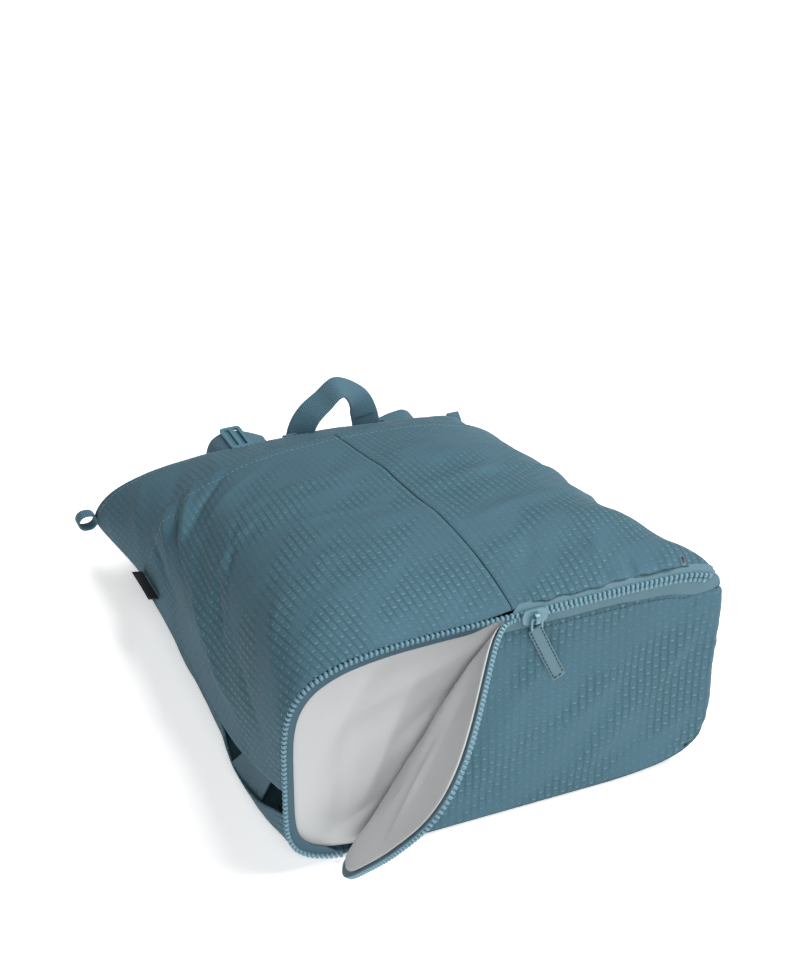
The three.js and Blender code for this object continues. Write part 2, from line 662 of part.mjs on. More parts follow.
// Strap ends in the slits, sewn under the side seam and running back into the strap pocket
const ANCHOR = { start: 33, end: 81, slant: 22, top: 147.6, bottom: 138.5, foot: 12, wall: 1.6 };
const ANCHOR_STEPS = 4;
function anchorPoint(side, s, t) {
  const along = lerp(ANCHOR.start, ANCHOR.end, s);
  const { seam } = sectionAt(along);
  const z = lerp(seam - WALL - 2 * GAP, ANCHOR.foot, t);
  return new THREE.Vector3(side * lerp(ANCHOR.top, ANCHOR.bottom, t), along + ANCHOR.slant * t, z);
}
function anchorWall(side) {
  const surface = (s, t) => anchorPoint(side, s, t);
  return clothWall(surface, ANCHOR_STEPS, ANCHOR_STEPS, side * ANCHOR.wall);
}
addMesh("strap_anchor_left", "webbing", anchorWall(-1));
addMesh("strap_anchor_right", "webbing", anchorWall(1));

// The top edge's place at a distance across, for what is sewn behind it
function topEdge(x) {
  const top = SECTIONS.at(-1);
  const { half, square } = sideOf(top, x);
  const share = clamp(Math.abs(x) / half, 0, 1);
  const rise = (top.crown - top.seam) * (1 - share ** square) ** (1 / square);
  return { y: topAlong(share), z: top.seam + rise + twist(x, BAG_LENGTH) };
}

// Carrying handle: a band sewn flat behind the top edge at both feet. It rises, turns half round
// so that its width lies along the bag at the top, and falls to the right foot with its other face
// in front. The route is a share of the way across and a height above the top edge.
const HANDLE = { left: -6, right: 56, tilt: 0.28, turnStart: 0.22, turnEnd: 0.84, steps: 32 };
const FOOT_CLEAR = { left: 1.3, right: 0.5 };
const HANDLE_ROUTE = [
  { share: 0, rise: -20 },
  { share: 0, rise: -1 },
  { share: 0.13, rise: 14 },
  { share: 0.33, rise: 23.5 },
  { share: 0.63, rise: 34.5 },
  { share: 0.88, rise: 26.5 },
  { share: 1, rise: 6 },
  { share: 1, rise: -18 },
];
function handleFoot(x, edgeX, clear) {
  const edge = topEdge(edgeX);
  return new THREE.Vector3(x, edge.y + clear, edge.z);
}
const leftFoot = handleFoot(HANDLE.left, HANDLE.left - WEBBING_WIDTH / 2, FOOT_CLEAR.left);
const rightFoot = handleFoot(HANDLE.right, HANDLE.right + WEBBING_WIDTH / 2, FOOT_CLEAR.right);
const handleWay = new THREE.CatmullRomCurve3(
  HANDLE_ROUTE.map(({ share, rise }) => {
    const point = leftFoot.clone().lerp(rightFoot, share);
    return point.setZ(point.z + rise);
  }),
);
function handleWidth(t) {
  const turn = Math.PI * smoothstep(t, HANDLE.turnStart, HANDLE.turnEnd);
  return new THREE.Vector3(-Math.cos(turn), Math.sin(turn), HANDLE.tilt * Math.sin(turn));
}
addMesh("handle", "webbing", band(handleWay, HANDLE.steps, handleWidth));

// Folded tabs at the handle's feet
const TAB = { width: 17, thick: 2.2, low: 16, high: -1, seat: 0.3, leftX: -4, rightX: 64 };
function handleTab(x, foot) {
  const geometry = new THREE.BoxGeometry(TAB.width, TAB.thick, TAB.low + TAB.high);
  const height = topEdge(x).z + (TAB.high - TAB.low) / 2;
  return geometry.translate(x, foot.y + (WEBBING_THICK + TAB.thick) / 2 + TAB.seat, height);
}
addMesh("handle_tab_left", "webbing", handleTab(TAB.leftX, leftFoot));
addMesh("handle_tab_right", "webbing", handleTab(TAB.rightX, rightFoot));

// Top ends of the shoulder straps: the left one runs through a flat buckle and falls behind the bag
const lengthwise = () => new THREE.Vector3(0, 1, 0);
const STRAP_Y = 376.7;
const STRAP_STEPS = 18;
const strapWay = new THREE.CatmullRomCurve3(
  [
    { x: -21, z: 73 },
    { x: -32, z: 77 },
    { x: -42, z: 80.5 },
    { x: -53, z: 80 },
    { x: -61, z: 76 },
    { x: -64, z: 68 },
    { x: -61, z: 58 },
    { x: -56, z: 50 },
  ].map(({ x, z }) => new THREE.Vector3(x, STRAP_Y, z)),
);
addMesh("strap_loop", "webbing", band(strapWay, STRAP_STEPS, lengthwise));

// A flat buckle with two slots, lying on the strap
const BUCKLE = { x: -46, z: 82.2, length: 16, width: 31, thick: 2.2, corner: 2.5 };
const SLOT = { width: 3.6, rail: 2.8, corner: 1 };
const CORNER_STEPS = 2;
function roundedPoints(width, length, corner) {
  const points = [];
  const corners = [
    [1, -1],
    [1, 1],
    [-1, 1],
    [-1, -1],
  ];
  corners.forEach(([right, up], quarter) => {
    for (let i = 0; i <= CORNER_STEPS; i += 1) {
      const turn = ((quarter - 1 + i / CORNER_STEPS) * Math.PI) / 2;
      const x = right * (width / 2 - corner) + corner * Math.cos(turn);
      points.push(new THREE.Vector2(x, up * (length / 2 - corner) + corner * Math.sin(turn)));
    }
  });
  return points;
}

// A flat plate with a rounded outline and holes, from z = 0 up
function plateGeometry(outline, holes, thick) {
  const shape = new THREE.Shape(outline);
  shape.holes.push(...holes.map((hole) => new THREE.Path(hole)));
  return new THREE.ExtrudeGeometry(shape, { depth: thick, bevelEnabled: false });
}

function slotPoints(middle) {
  const outline = roundedPoints(SLOT.width, BUCKLE.width - 2 * SLOT.rail, SLOT.corner);
  return outline.map((point) => point.add(new THREE.Vector2(middle, 0)));
}

function buckleGeometry() {
  const outline = roundedPoints(BUCKLE.length, BUCKLE.width, BUCKLE.corner);
  const offset = (BUCKLE.length - 2 * SLOT.rail - SLOT.width) / 2;
  const plate = plateGeometry(outline, [slotPoints(-offset), slotPoints(offset)], BUCKLE.thick);
  return plate.translate(BUCKLE.x, STRAP_Y, BUCKLE.z);
}
addMesh("strap_buckle", "slider", buckleGeometry());

// The right strap's end lies flat behind the top edge and falls behind the bag
const STRAP_TAB_STEPS = 10;
const strapTabWay = new THREE.CatmullRomCurve3(
  [
    { x: 78, y: 380.1, z: 71.4 },
    { x: 90, y: 383.6, z: 71.6 },
    { x: 102, y: 387.6, z: 68.6 },
    { x: 109, y: 391, z: 60 },
    { x: 108, y: 393, z: 50 },
  ].map(({ x, y, z }) => new THREE.Vector3(x, y, z)),
);
addMesh("strap_tab_right", "webbing", band(strapTabWay, STRAP_TAB_STEPS, lengthwise));

// Small webbing loops at the top corners, with an open eye: the left one points to the side,
// the right one lies behind its corner
const LOOP = { length: 15, height: 9, wall: 1.5, width: 10, corner: 4.4, eyeCorner: 2.9 };
function cornerLoop() {
  const eyeLength = LOOP.length - 2 * LOOP.wall;
  const eyeHeight = LOOP.height - 2 * LOOP.wall;
  const outline = roundedPoints(LOOP.length, LOOP.height, LOOP.corner);
  const eye = roundedPoints(eyeLength, eyeHeight, LOOP.eyeCorner);
  const geometry = plateGeometry(outline, [eye], LOOP.width).translate(0, 0, -LOOP.width / 2);
  return geometry.rotateX(Math.PI / 2);
}
const corner = SECTIONS.at(-1);
const loopReach = corner.half + GAP + LOOP.length / 2;
const leftLoop = cornerLoop();
leftLoop.translate(-loopReach, BAG_LENGTH - LOOP.width / 2, corner.seam - TOP_TWIST + LOOP.height / 2);
addMesh("corner_loop_left", "webbing", leftLoop);
const rightLoop = cornerLoop().rotateZ(Math.PI / 2);
const loopY = BAG_LENGTH + GAP + LOOP.length / 2;
rightLoop.translate(corner.half - LOOP.width / 2, loopY, corner.seam + TOP_TWIST);
addMesh("corner_loop_right", "webbing", rightLoop);

// Bare tab in the left side seam, drooping outwards
const LABEL = { along: 270, length: 37, reach: 8, thick: 1.2, height: 48, droop: degToRad(-12) };
const labelGeometry = new THREE.BoxGeometry(LABEL.reach, LABEL.length, LABEL.thick);
labelGeometry.translate(-LABEL.reach / 2, 0, 0).rotateY(-LABEL.droop);
const labelX = -(sectionAt(LABEL.along).half + 2 * GAP);
addMesh("label_tab", "label", labelGeometry.translate(labelX, LABEL.along, LABEL.height));

// Zip slider: a plate over the teeth with an eye for the pull's link
const SLIDER = { x: 12, length: 17, width: 10, thick: 2.2, low: TEETH_HIGH + GAP, corner: 3 };
const SLIDER_Z = BASE_TOP - (BODY_TEETH + FLAP_TEETH) / 2;
const EYE = { width: 3.2, height: 7, rise: 5.4, corner: 2.5, sink: 0.5 };
const EYE_HOLE = { height: 4, rise: 3, corner: 1 };
const PIVOT_OUT = SLIDER.low + SLIDER.thick + EYE.rise / 2 - EYE.sink;

function solidOf(geometry) {
  const bare = geometry.clone();
  bare.deleteAttribute("normal");
  bare.deleteAttribute("uv");
  const merged = mergeVertices(bare, 1e-4);
  const vertProperties = new Float32Array(merged.attributes.position.array);
  const triVerts = new Uint32Array(merged.index.array);
  return new wasm.Manifold(new wasm.Mesh({ numProp: 3, vertProperties, triVerts }));
}

function geometryOf(solid) {
  const { vertProperties, triVerts } = solid.getMesh();
  const geometry = new THREE.BufferGeometry();
  geometry.setAttribute("position", new THREE.BufferAttribute(vertProperties, 3));
  geometry.setIndex(new THREE.BufferAttribute(triVerts, 1));
  geometry.computeVertexNormals();
  return geometry;
}

function sliderGeometry() {
  const outline = roundedPoints(SLIDER.length, SLIDER.width, SLIDER.corner);
  const plate = plateGeometry(outline, [], SLIDER.thick).rotateX(Math.PI / 2);
  plate.translate(SLIDER.x, -SLIDER.low, SLIDER_Z);
  const eye = roundedPoints(EYE.height, EYE.rise, EYE.corner);
  const hole = roundedPoints(EYE_HOLE.height, EYE_HOLE.rise, EYE_HOLE.corner);
  const ring = plateGeometry(eye, [hole], EYE.width).translate(0, 0, -EYE.width / 2);
  ring.rotateY(Math.PI / 2).translate(SLIDER.x, -PIVOT_OUT, SLIDER_Z);
  return geometryOf(solidOf(plate).add(solidOf(ring)));
}
addMesh("zip_slider", "slider", sliderGeometry());

// The pull: a wire link through the slider's eye and a stitched tab, leaning to the right
const pull = new THREE.Group();
pull.position.set(SLIDER.x, -PIVOT_OUT, SLIDER_Z);
bag.add(pull);
const LINK = { width: 8.4, length: 9, wire: 1.5, corner: 1.5, eyeCorner: 0.8 };
const PULL = { lean: degToRad(24), length: 45, width: 9.5, thick: 2.4, corner: 2, tuck: 0.8 };

function linkGeometry() {
  const outline = roundedPoints(LINK.width, LINK.length, LINK.corner);
  const hole = roundedPoints(LINK.width - 2 * LINK.wire, LINK.length - 2 * LINK.wire, LINK.eyeCorner);
  const flat = plateGeometry(outline, [hole], LINK.wire).translate(0, 0, -LINK.wire / 2);
  return flat.rotateX(Math.PI / 2).translate(0, 0, -LINK.length / 2 + LINK.wire / 2);
}
addMesh("pull_link", "slider", linkGeometry(), pull);

function pullTabGeometry() {
  const outline = roundedPoints(PULL.width, PULL.length, PULL.corner);
  const flat = plateGeometry(outline, [], PULL.thick).translate(0, 0, -PULL.thick / 2);
  flat.rotateX(Math.PI / 2).translate(0, 0, -PULL.length / 2);
  flat.rotateY(-PULL.lean);
  const side = (Math.sin(PULL.lean) * PULL.width) / 2;
  return flat.translate(0, 0, -LINK.length + LINK.wire / 2 - GAP - side + PULL.tuck);
}
addMesh("pull_tab", "slider", pullTabGeometry(), pull);

export default bag;
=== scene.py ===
# A soft backpack purse that lies on its back, front side up, with its zipped base half open
from math import cos, pi, radians, sin

import bmesh
import bpy
import numpy as np
from mathutils import Matrix, Vector


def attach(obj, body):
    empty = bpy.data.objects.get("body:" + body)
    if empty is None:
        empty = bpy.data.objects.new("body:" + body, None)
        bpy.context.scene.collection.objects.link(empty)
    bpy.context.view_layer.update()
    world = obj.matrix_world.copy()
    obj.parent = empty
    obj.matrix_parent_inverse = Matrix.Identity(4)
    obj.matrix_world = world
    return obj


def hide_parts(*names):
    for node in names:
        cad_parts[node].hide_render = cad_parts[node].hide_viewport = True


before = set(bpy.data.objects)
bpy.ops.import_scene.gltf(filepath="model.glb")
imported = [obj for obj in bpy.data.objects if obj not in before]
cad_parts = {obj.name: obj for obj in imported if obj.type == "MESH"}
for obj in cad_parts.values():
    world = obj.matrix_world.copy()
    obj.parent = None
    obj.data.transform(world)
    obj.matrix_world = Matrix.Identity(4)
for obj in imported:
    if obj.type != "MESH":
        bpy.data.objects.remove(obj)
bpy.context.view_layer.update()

# Shapes are worked out in millimetres, with the way along the bag measured from the base's plane
MM = 0.001
REST_ALONG = 120.0
BAG = "bag"
PULL_BODY = "zip_pull"

# Main sizes
BAG_LENGTH = 401.0
HEM_ALONG = 293.0
BASE_TOP = 153.0
BASE_BOTTOM = 1.2
TOP_HALF_WIDTH = 151.0
WALL = 1.5
GAP = 0.4

# Cross-sections of the bag from the base to the top corners
SECTION_KEYS = ("along", "half", "half_right", "crown", "seam", "square", "square_right")
SECTIONS = [dict(zip(SECTION_KEYS, row)) for row in (
    (0, 151, 145, BASE_TOP, 64, 4.7, 8.5),
    (35, 151.5, 149, 162, 53, 4.2, 5.2),
    (80, 151, 150, 164, 40, 3.6, 3.75),
    (126, 149, 149, 158, 33, 3.3, 3.3),
    (200, 147, 147, 146, 36, 3.05, 3.05),
    (HEM_ALONG, 147, 147, 125, 40, 2.65, 2.6),
    (BAG_LENGTH, 151, 151, 91, 36, 2.6, 1.7),
)]

# The outer back's side edges: drop below the side seam and squareness
BACK_EDGES = [dict(zip(("along", "drop", "square"), row)) for row in (
    (0, 17, 5), (17, 20, 5.5), (48, 26, 7), (86, 25.5, 8), (113, 20, 8), (140, 1.6, 7), (300, 4.2, 4),
)]


# Small helpers

def smoothstep(value, low, high):
    t = np.clip((np.asarray(value, float) - low) / (high - low), 0.0, 1.0)
    return t * t * (3 - 2 * t)


def window(value, low, full, last, end):
    """A share that rises from low to full, and falls from last to end."""
    return smoothstep(value, low, full) * (1 - smoothstep(value, last, end))


def hump(value, middle, width):
    return np.exp(-((value - middle) / width) ** 2)


def mix(a, b, t):
    return a + (b - a) * t


def spread(*values):
    """The values as float arrays of one shape."""
    return np.broadcast_arrays(*(np.asarray(v, float) for v in values))


def stack(*parts):
    return np.stack(np.broadcast_arrays(*parts), axis=-1)


def unit(v):
    return v / np.maximum(np.linalg.norm(v, axis=-1, keepdims=True), 1e-9)


def run_lengths(points):
    """The length along points up to each of them."""
    return np.concatenate([[0], np.cumsum(np.linalg.norm(np.diff(points, axis=0), axis=1))])


def read_way(at, lengths, values):
    """Values that a way's points carry, at given lengths along it."""
    return stack(*(np.interp(at, lengths, column) for column in values.T))


def smooth_column(table, key, along):
    """A column's value between the rows of a table, on a smooth curve through the rows."""
    last = len(table) - 1
    stops = np.array([row["along"] for row in table], float)
    values = np.array([row[key] for row in table], float)
    place = np.clip(np.asarray(along, float), stops[0], stops[-1])
    i = np.clip(np.searchsorted(stops, place, side="right") - 1, 0, last - 1)
    span = stops[i + 1] - stops[i]
    t = (place - stops[i]) / span

    def slope(k):
        before, after = np.maximum(k - 1, 0), np.minimum(k + 1, last)
        return (values[after] - values[before]) / (stops[after] - stops[before]) * span

    rise = t * (1 - t) ** 2 * slope(i) - t * t * (1 - t) * slope(i + 1)
    return mix(values[i], values[i + 1], t * t * (3 - 2 * t)) + rise


def section_at(along):
    return {key: smooth_column(SECTIONS, key, along) for key in SECTION_KEYS[1:]}


def side_of(section, u):
    """Half width and squareness of a section, for the left (u below 0) or right side."""
    half = np.where(u < 0, section["half"], section["half_right"])
    return half, np.where(u < 0, section["square"], section["square_right"])


def shrink_of(p, q, square):
    return (np.abs(p) ** square + np.abs(q) ** square) ** (-1 / square)


ARCH_STEPS = 120


def arch(half, rise, square, u, stop=0.0):
    """Points (x, z) of superellipse arches for signed shares u of their length from the top."""
    half, rise, square, u, stop = (a[..., None] for a in spread(half, rise, square, u, stop))
    turn = np.linspace(0, pi / 2, ARCH_STEPS + 1)
    shrink = shrink_of(np.sin(turn), np.maximum(np.cos(turn), 0), square)
    x = half * np.sin(turn) * shrink
    z = rise * np.maximum(np.cos(turn), 0) * shrink
    end = half * np.maximum(1 - (stop / rise) ** square, 0) ** (1 / square)
    x, z = np.where(z < stop, end, x), np.maximum(z, stop)
    step = np.hypot(np.diff(x, axis=-1), np.diff(z, axis=-1))
    length = np.concatenate([np.zeros_like(step[..., :1]), np.cumsum(step, axis=-1)], axis=-1)
    target = np.minimum(np.abs(u), 1) * length[..., -1:]
    i = np.clip((length < target).sum(axis=-1, keepdims=True), 1, ARCH_STEPS)

    def pick(values, k):
        return np.take_along_axis(values, k, axis=-1)

    run = np.maximum(pick(length, i) - pick(length, i - 1), 1e-9)
    t = np.clip((target - pick(length, i - 1)) / run, 0, 1)
    side = np.where(u < 0, -1.0, 1.0)
    px = side * mix(pick(x, i - 1), pick(x, i), t)
    return px[..., 0], mix(pick(z, i - 1), pick(z, i), t)[..., 0]


TWIST_RISE = 8.0
TWIST_START = 250.0


def twist(x, along):
    """The top edge's right corner lies higher than its left one."""
    return TWIST_RISE * smoothstep(along, TWIST_START, BAG_LENGTH) * (x / TOP_HALF_WIDTH) ** 3


NOISE_SIZE = 64


def noise(x, y, seed):
    """Smooth random heights from -1 to 1, one wave per unit, the same on each run."""
    table = np.random.default_rng(seed).random((NOISE_SIZE, NOISE_SIZE)) * 2 - 1
    xi, yi = np.floor(x).astype(int), np.floor(y).astype(int)
    fx, fy = x - xi, y - yi
    fx, fy = fx * fx * (3 - 2 * fx), fy * fy * (3 - 2 * fy)

    def at(i, j):
        return table[(xi + i) % NOISE_SIZE, (yi + j) % NOISE_SIZE]

    return mix(mix(at(0, 0), at(1, 0), fx), mix(at(0, 1), at(1, 1), fx), fy)


FOLD_KEYS = ("across", "along", "length", "width", "lean", "height", "sharp")
CREASE_FALL = 1.6


def folds(table, across, along):
    """Sum of soft ridges and valleys. A sharp one has a crease along its middle."""
    total = np.zeros_like(np.asarray(across, float))
    for row in table:
        fold = dict(zip(FOLD_KEYS, row))
        a, b = across - fold["across"], along - fold["along"]
        lean = radians(fold["lean"])
        run, off = a * cos(lean) + b * sin(lean), b * cos(lean) - a * sin(lean)
        soft = hump(off, 0, fold["width"])
        crease = np.exp(-np.abs(off / fold["width"]) * CREASE_FALL)
        profile = mix(soft, crease, fold["sharp"])
        total = total + fold["height"] * hump(run, 0, fold["length"]) * profile
    return total


def grid_normals(grid):
    return unit(np.cross(np.gradient(grid, axis=1), np.gradient(grid, axis=0)))


# Node materials

class Graph:
    """Short calls for the nodes of a material or a world."""

    def __init__(self, tree):
        self.tree = tree

    def node(self, kind, inputs=None, **settings):
        made = self.tree.nodes.new("ShaderNode" + kind)
        for key, value in settings.items():
            setattr(made, key, value)
        for key, value in (inputs or {}).items():
            self.put(value, made.inputs[key])
        return made

    def put(self, value, socket):
        if isinstance(value, bpy.types.NodeSocket):
            self.tree.links.new(value, socket)
        else:
            socket.default_value = value

    def math(self, operation, a, b=0.0, c=0.0):
        return self.node("Math", {0: a, 1: b, 2: c}, operation=operation).outputs[0]

    def times(self, a, b):
        return self.math("MULTIPLY", a, b)

    def times_plus(self, a, b, c):
        return self.math("MULTIPLY_ADD", a, b, c)

    def rest_of(self, value):
        """What is left of a value above its whole number."""
        return self.math("SUBTRACT", value, self.math("FLOOR", value))

    def square(self, value):
        return self.math("POWER", value, 2.0)

    def noise(self, vector, scale, detail, roughness, distortion=0.0):
        inputs = {"Scale": scale, "Detail": detail, "Roughness": roughness, "Distortion": distortion}
        return self.node("TexNoise", {"Vector": vector, **inputs}).outputs["Fac"]

    def ramp(self, value, stops):
        made = self.node("ValToRGB", {"Fac": value})
        points = made.color_ramp.elements
        while len(points) < len(stops):
            points.new(0.5)
        for point, (place, color) in zip(points, stops):
            point.position = place
            point.color = (*color, 1)
        return made.outputs["Color"]

    def mixed(self, factor, a, b):
        """A mix of two colours, each a socket or three numbers."""
        a, b = (v if isinstance(v, bpy.types.NodeSocket) else (*v, 1) for v in (a, b))
        return self.node("Mix", {0: factor, 6: a, 7: b}, data_type="RGBA", blend_type="MIX").outputs[2]

    def bump(self, height, strength, distance, before=None):
        inputs = {"Height": height, "Strength": strength, "Distance": distance}
        if before is not None:
            inputs["Normal"] = before
        return self.node("Bump", inputs).outputs["Normal"]

    def cloth_axes(self):
        """The place on the cloth in millimetres, across and along, carried by the mesh."""
        place = self.node("Attribute", attribute_name="cloth", attribute_type="GEOMETRY").outputs["Vector"]
        parts = self.node("SeparateXYZ", {0: place})
        return place, parts.outputs["X"], parts.outputs["Y"]

    def wave(self, value, period):
        """A cosine from 0 to 1 of a value in millimetres."""
        return self.times_plus(self.math("COSINE", self.times(value, 2 * pi / period)), 0.5, 0.5)

    def smooth_range(self, value, given, wanted, kind="SMOOTHSTEP"):
        """A value mapped from one range to another."""
        inputs = {0: value, 1: given[0], 2: given[1], 3: wanted[0], 4: wanted[1]}
        return self.node("MapRange", inputs, interpolation_type=kind).outputs[0]


def new_material(name, color, roughness, **sockets):
    material = bpy.data.materials.new(name)
    material.use_nodes = True
    shader = material.node_tree.nodes["Principled BSDF"]
    shader.inputs["Base Color"].default_value = (*color, 1)
    shader.inputs["Roughness"].default_value = roughness
    for socket, value in sockets.items():
        shader.inputs[socket.replace("_", " ")].default_value = value
    return material, Graph(material.node_tree), shader.inputs


# Cells of the pressed pattern in mm, and the slanted bands in which it shows more or less
CELL_WIDTH = 5.2
CELL_LENGTH = 8.1
FAR_COLUMNS = 4000.0
BAND_WAY = (0.74, 0.67)
BAND_DRAWN = 0.4


def shell_material():
    """Coated cloth pressed with staggered long cells, each with a small raised tip painted lighter as a
    highlight, and painted shade in the grooves between cells. The pressing shows more in some parts of the
    cloth than in others; the smooth parts are painted bluer as a sheen."""
    material, g, shader = new_material(
        "shell_cloth", (0.09, 0.17, 0.21), 0.78,
        Specular_IOR_Level=0.14, Sheen_Weight=0.02, Sheen_Roughness=0.4)
    vector, across, along = g.cloth_axes()
    column = g.math("DIVIDE", across, CELL_WIDTH)
    even = g.math("MODULO", g.math("ADD", g.math("FLOOR", column), FAR_COLUMNS), 2.0)
    in_row = g.rest_of(g.times_plus(even, 0.5, g.math("DIVIDE", along, CELL_LENGTH)))
    off_x = g.math("ABSOLUTE", g.times_plus(g.rest_of(column), 2.0, -1.0))
    off_y = g.math("ABSOLUTE", g.times_plus(in_row, 2.0, -1.0))
    narrow = g.smooth_range(off_x, (0.5, 1.0), (1.0, 0.0))
    pillow = g.times(narrow, g.smooth_range(off_y, (0.72, 1.0), (1.0, 0.35)))
    bent = g.times_plus(g.square(off_x), 0.09, 0.16)
    tip_y = g.times(g.math("SUBTRACT", in_row, bent), 10.0)
    tip_far = g.math("ADD", g.square(g.times(off_x, 1.9)), g.square(tip_y))
    tip = g.smooth_range(tip_far, (0.0, 1.1), (1.0, 0.0))
    lengthwise = g.times_plus(across, BAND_WAY[0] * BAND_DRAWN, g.times(along, BAND_WAY[1] * BAND_DRAWN))
    crosswise = g.times_plus(across, -BAND_WAY[1], g.times(along, BAND_WAY[0]))
    slanted = g.node("CombineXYZ", {"X": lengthwise, "Y": crosswise}).outputs[0]
    pressed = g.times(
        g.smooth_range(g.noise(slanted, 0.03, 2.0, 0.5, 0.4), (0.4, 0.58), (0.16, 1.0)),
        g.smooth_range(along, (110.0, 300.0), (1.0, 0.5)))
    fibre = g.noise(vector, 0.85, 4.0, 0.75)
    base = g.ramp(g.noise(vector, 0.014, 3.0, 0.55), [
        (0.3, (0.062, 0.13, 0.172)), (0.52, (0.068, 0.142, 0.186)), (0.75, (0.07, 0.152, 0.206))])
    # The smooth parts, where the pressing shows less, stay bluer and lighter than the pressed parts: painted
    # sheen.
    teal_with_sheen = g.mixed(g.times(pressed, 0.5), base, (0.06, 0.136, 0.164))
    grainy = g.smooth_range(fibre, (0.36, 0.66), (0.0, 0.55))
    grain = g.mixed(grainy, (0.042, 0.096, 0.128), (0.106, 0.2, 0.248))
    # Darker between the cells, most where the cloth is pressed: painted shade in the grooves.
    dark = g.times(g.times_plus(pillow, -0.5, 0.5), pressed)
    shaded_grooves = g.mixed(dark, g.mixed(0.5, teal_with_sheen, grain), (0.026, 0.066, 0.088))
    # The raised tips are painted lighter: painted highlight.
    g.put(g.mixed(g.times(g.times(tip, pressed), 0.44), shaded_grooves, (0.19, 0.3, 0.335)), shader["Base Color"])
    g.put(g.smooth_range(tip, (0.0, 1.0), (0.8, 0.56), "LINEAR"), shader["Roughness"])
    embossed = g.bump(g.times(g.times_plus(tip, 0.3, pillow), pressed), 0.5, 0.0004)
    g.put(g.bump(fibre, 0.3, 0.0003, embossed), shader["Normal"])
    return material


def woven_material(name, color, dark, roughness, thread, depth, sheen=0.04, cloud_scale=0.012, contrast=0.5):
    """Plain woven cloth with soft clouding."""
    material, g, shader = new_material(
        name, color, roughness, Sheen_Weight=sheen, Sheen_Roughness=0.45, Specular_IOR_Level=0.3)
    vector, across, along = g.cloth_axes()
    fibre = g.times(g.noise(vector, 1.7, 2.0, 0.6), 0.16)
    shade = g.times_plus(g.noise(vector, cloud_scale, 3.0, 0.6), contrast, fibre)
    g.put(g.mixed(shade, color, dark), shader["Base Color"])
    g.put(g.bump(g.times(g.wave(across, thread), g.wave(along, thread)), 0.35, depth), shader["Normal"])
    return material


RIB = 1.6
RIB_SLANT = 0.45


def webbing_material(name, color, dark):
    """Woven webbing: slanted ribs across its width, painted darker between the ribs as shade."""
    material, g, shader = new_material(
        name, color, 0.7, Sheen_Weight=0.05, Sheen_Roughness=0.4, Specular_IOR_Level=0.2)
    vector, across, along = g.cloth_axes()
    ribs = g.wave(g.times_plus(g.math("PINGPONG", across, 2.1), RIB_SLANT, along), RIB)
    height = g.times(ribs, g.times_plus(g.wave(across, 1.05), 0.5, 0.5))
    # Darker where the ribs are low: painted shade between them.
    shade = g.times_plus(height, -0.5, g.times_plus(g.noise(vector, 0.9, 3.0, 0.6), 0.5, 0.32))
    g.put(g.mixed(shade, color, dark), shader["Base Color"])
    g.put(g.bump(height, 0.9, 0.0004), shader["Normal"])
    return material


def solid_material(name, color, dark, roughness, **sockets):
    """Moulded or painted surface with faint mottling and fine grain."""
    material, g, shader = new_material(name, color, roughness, **sockets)
    place = g.node("TexCoord").outputs["Object"]
    g.put(g.mixed(g.times(g.noise(place, 160.0, 3.0, 0.6), 0.6), color, dark), shader["Base Color"])
    g.put(g.bump(g.noise(place, 1500.0, 2.0, 0.5), 0.3, 0.00006), shader["Normal"])
    return material


SHELL = shell_material()
LINING = woven_material(
    "lining_cloth", (0.53, 0.54, 0.545), (0.43, 0.438, 0.443), 0.55, 0.5, 0.00005, sheen=0.03)
DARK_CLOTH = woven_material("back_cloth", (0.03, 0.04, 0.046), (0.014, 0.018, 0.021), 0.8, 0.9, 0.0001)
# Two copies of the zip tape's cloth: the darker one is painted shade for the tape on the open side, the
# lighter one is the lit tape.
TAPE_SHADED = woven_material(
    "zip_tape", (0.062, 0.118, 0.155), (0.042, 0.086, 0.116), 0.75, 0.8, 0.00018, contrast=0.6)
TAPE_LIT = woven_material(
    "zip_tape_lit", (0.1, 0.182, 0.222), (0.072, 0.14, 0.176), 0.72, 0.8, 0.00018, contrast=0.6)
WEBBING = webbing_material("webbing", (0.094, 0.19, 0.245), (0.026, 0.068, 0.097))
TEETH = solid_material("zip_teeth", (0.135, 0.262, 0.325), (0.09, 0.19, 0.245), 0.36, Specular_IOR_Level=0.5)
PAINT = solid_material(
    "zip_paint", (0.11, 0.225, 0.28), (0.075, 0.16, 0.205), 0.33,
    Specular_IOR_Level=0.55, Coat_Weight=0.2, Coat_Roughness=0.25)
BUCKLE = solid_material("buckle_plastic", (0.09, 0.195, 0.25), (0.06, 0.14, 0.18), 0.42)
LABEL = woven_material(
    "label_cloth", (0.012, 0.013, 0.016), (0.03, 0.032, 0.036), 0.6, 0.45, 0.0001, cloud_scale=0.05)
PULL_CLOTH = woven_material("pull_cloth", (0.1, 0.18, 0.215), (0.07, 0.138, 0.17), 0.6, 0.6, 0.0001)
THREAD = solid_material("thread", (0.16, 0.28, 0.33), (0.1, 0.2, 0.245), 0.6)
THREAD_DARK = solid_material("thread_dark", (0.012, 0.024, 0.03), (0.02, 0.034, 0.042), 0.65)
TACK = solid_material("thread_tack", (0.19, 0.06, 0.05), (0.1, 0.035, 0.03), 0.65)


# Making pieces

# The base's right top corner bulges: how far, and where that starts and ends
CORNER_BULGE = 4.0
BULGE_ACROSS = (90, 145)
BULGE_ALONG = (15, 70)
BULGE_UP = (60, 140)


def to_part(points):
    """Millimetres from the base's plane to metres in the part's frame, with the base's corner bulged."""
    points = np.array(points, float).reshape(-1, 3)
    x, along, z = points.T
    bulge = smoothstep(z, *BULGE_UP) * smoothstep(x, *BULGE_ACROSS) * (1 - smoothstep(along, *BULGE_ALONG))
    points[:, 0] += CORNER_BULGE * bulge
    return (points - (0, REST_ALONG, 0)) * MM


def add_object(name, data):
    made = bpy.data.objects.new(name, data)
    bpy.context.scene.collection.objects.link(made)
    return made


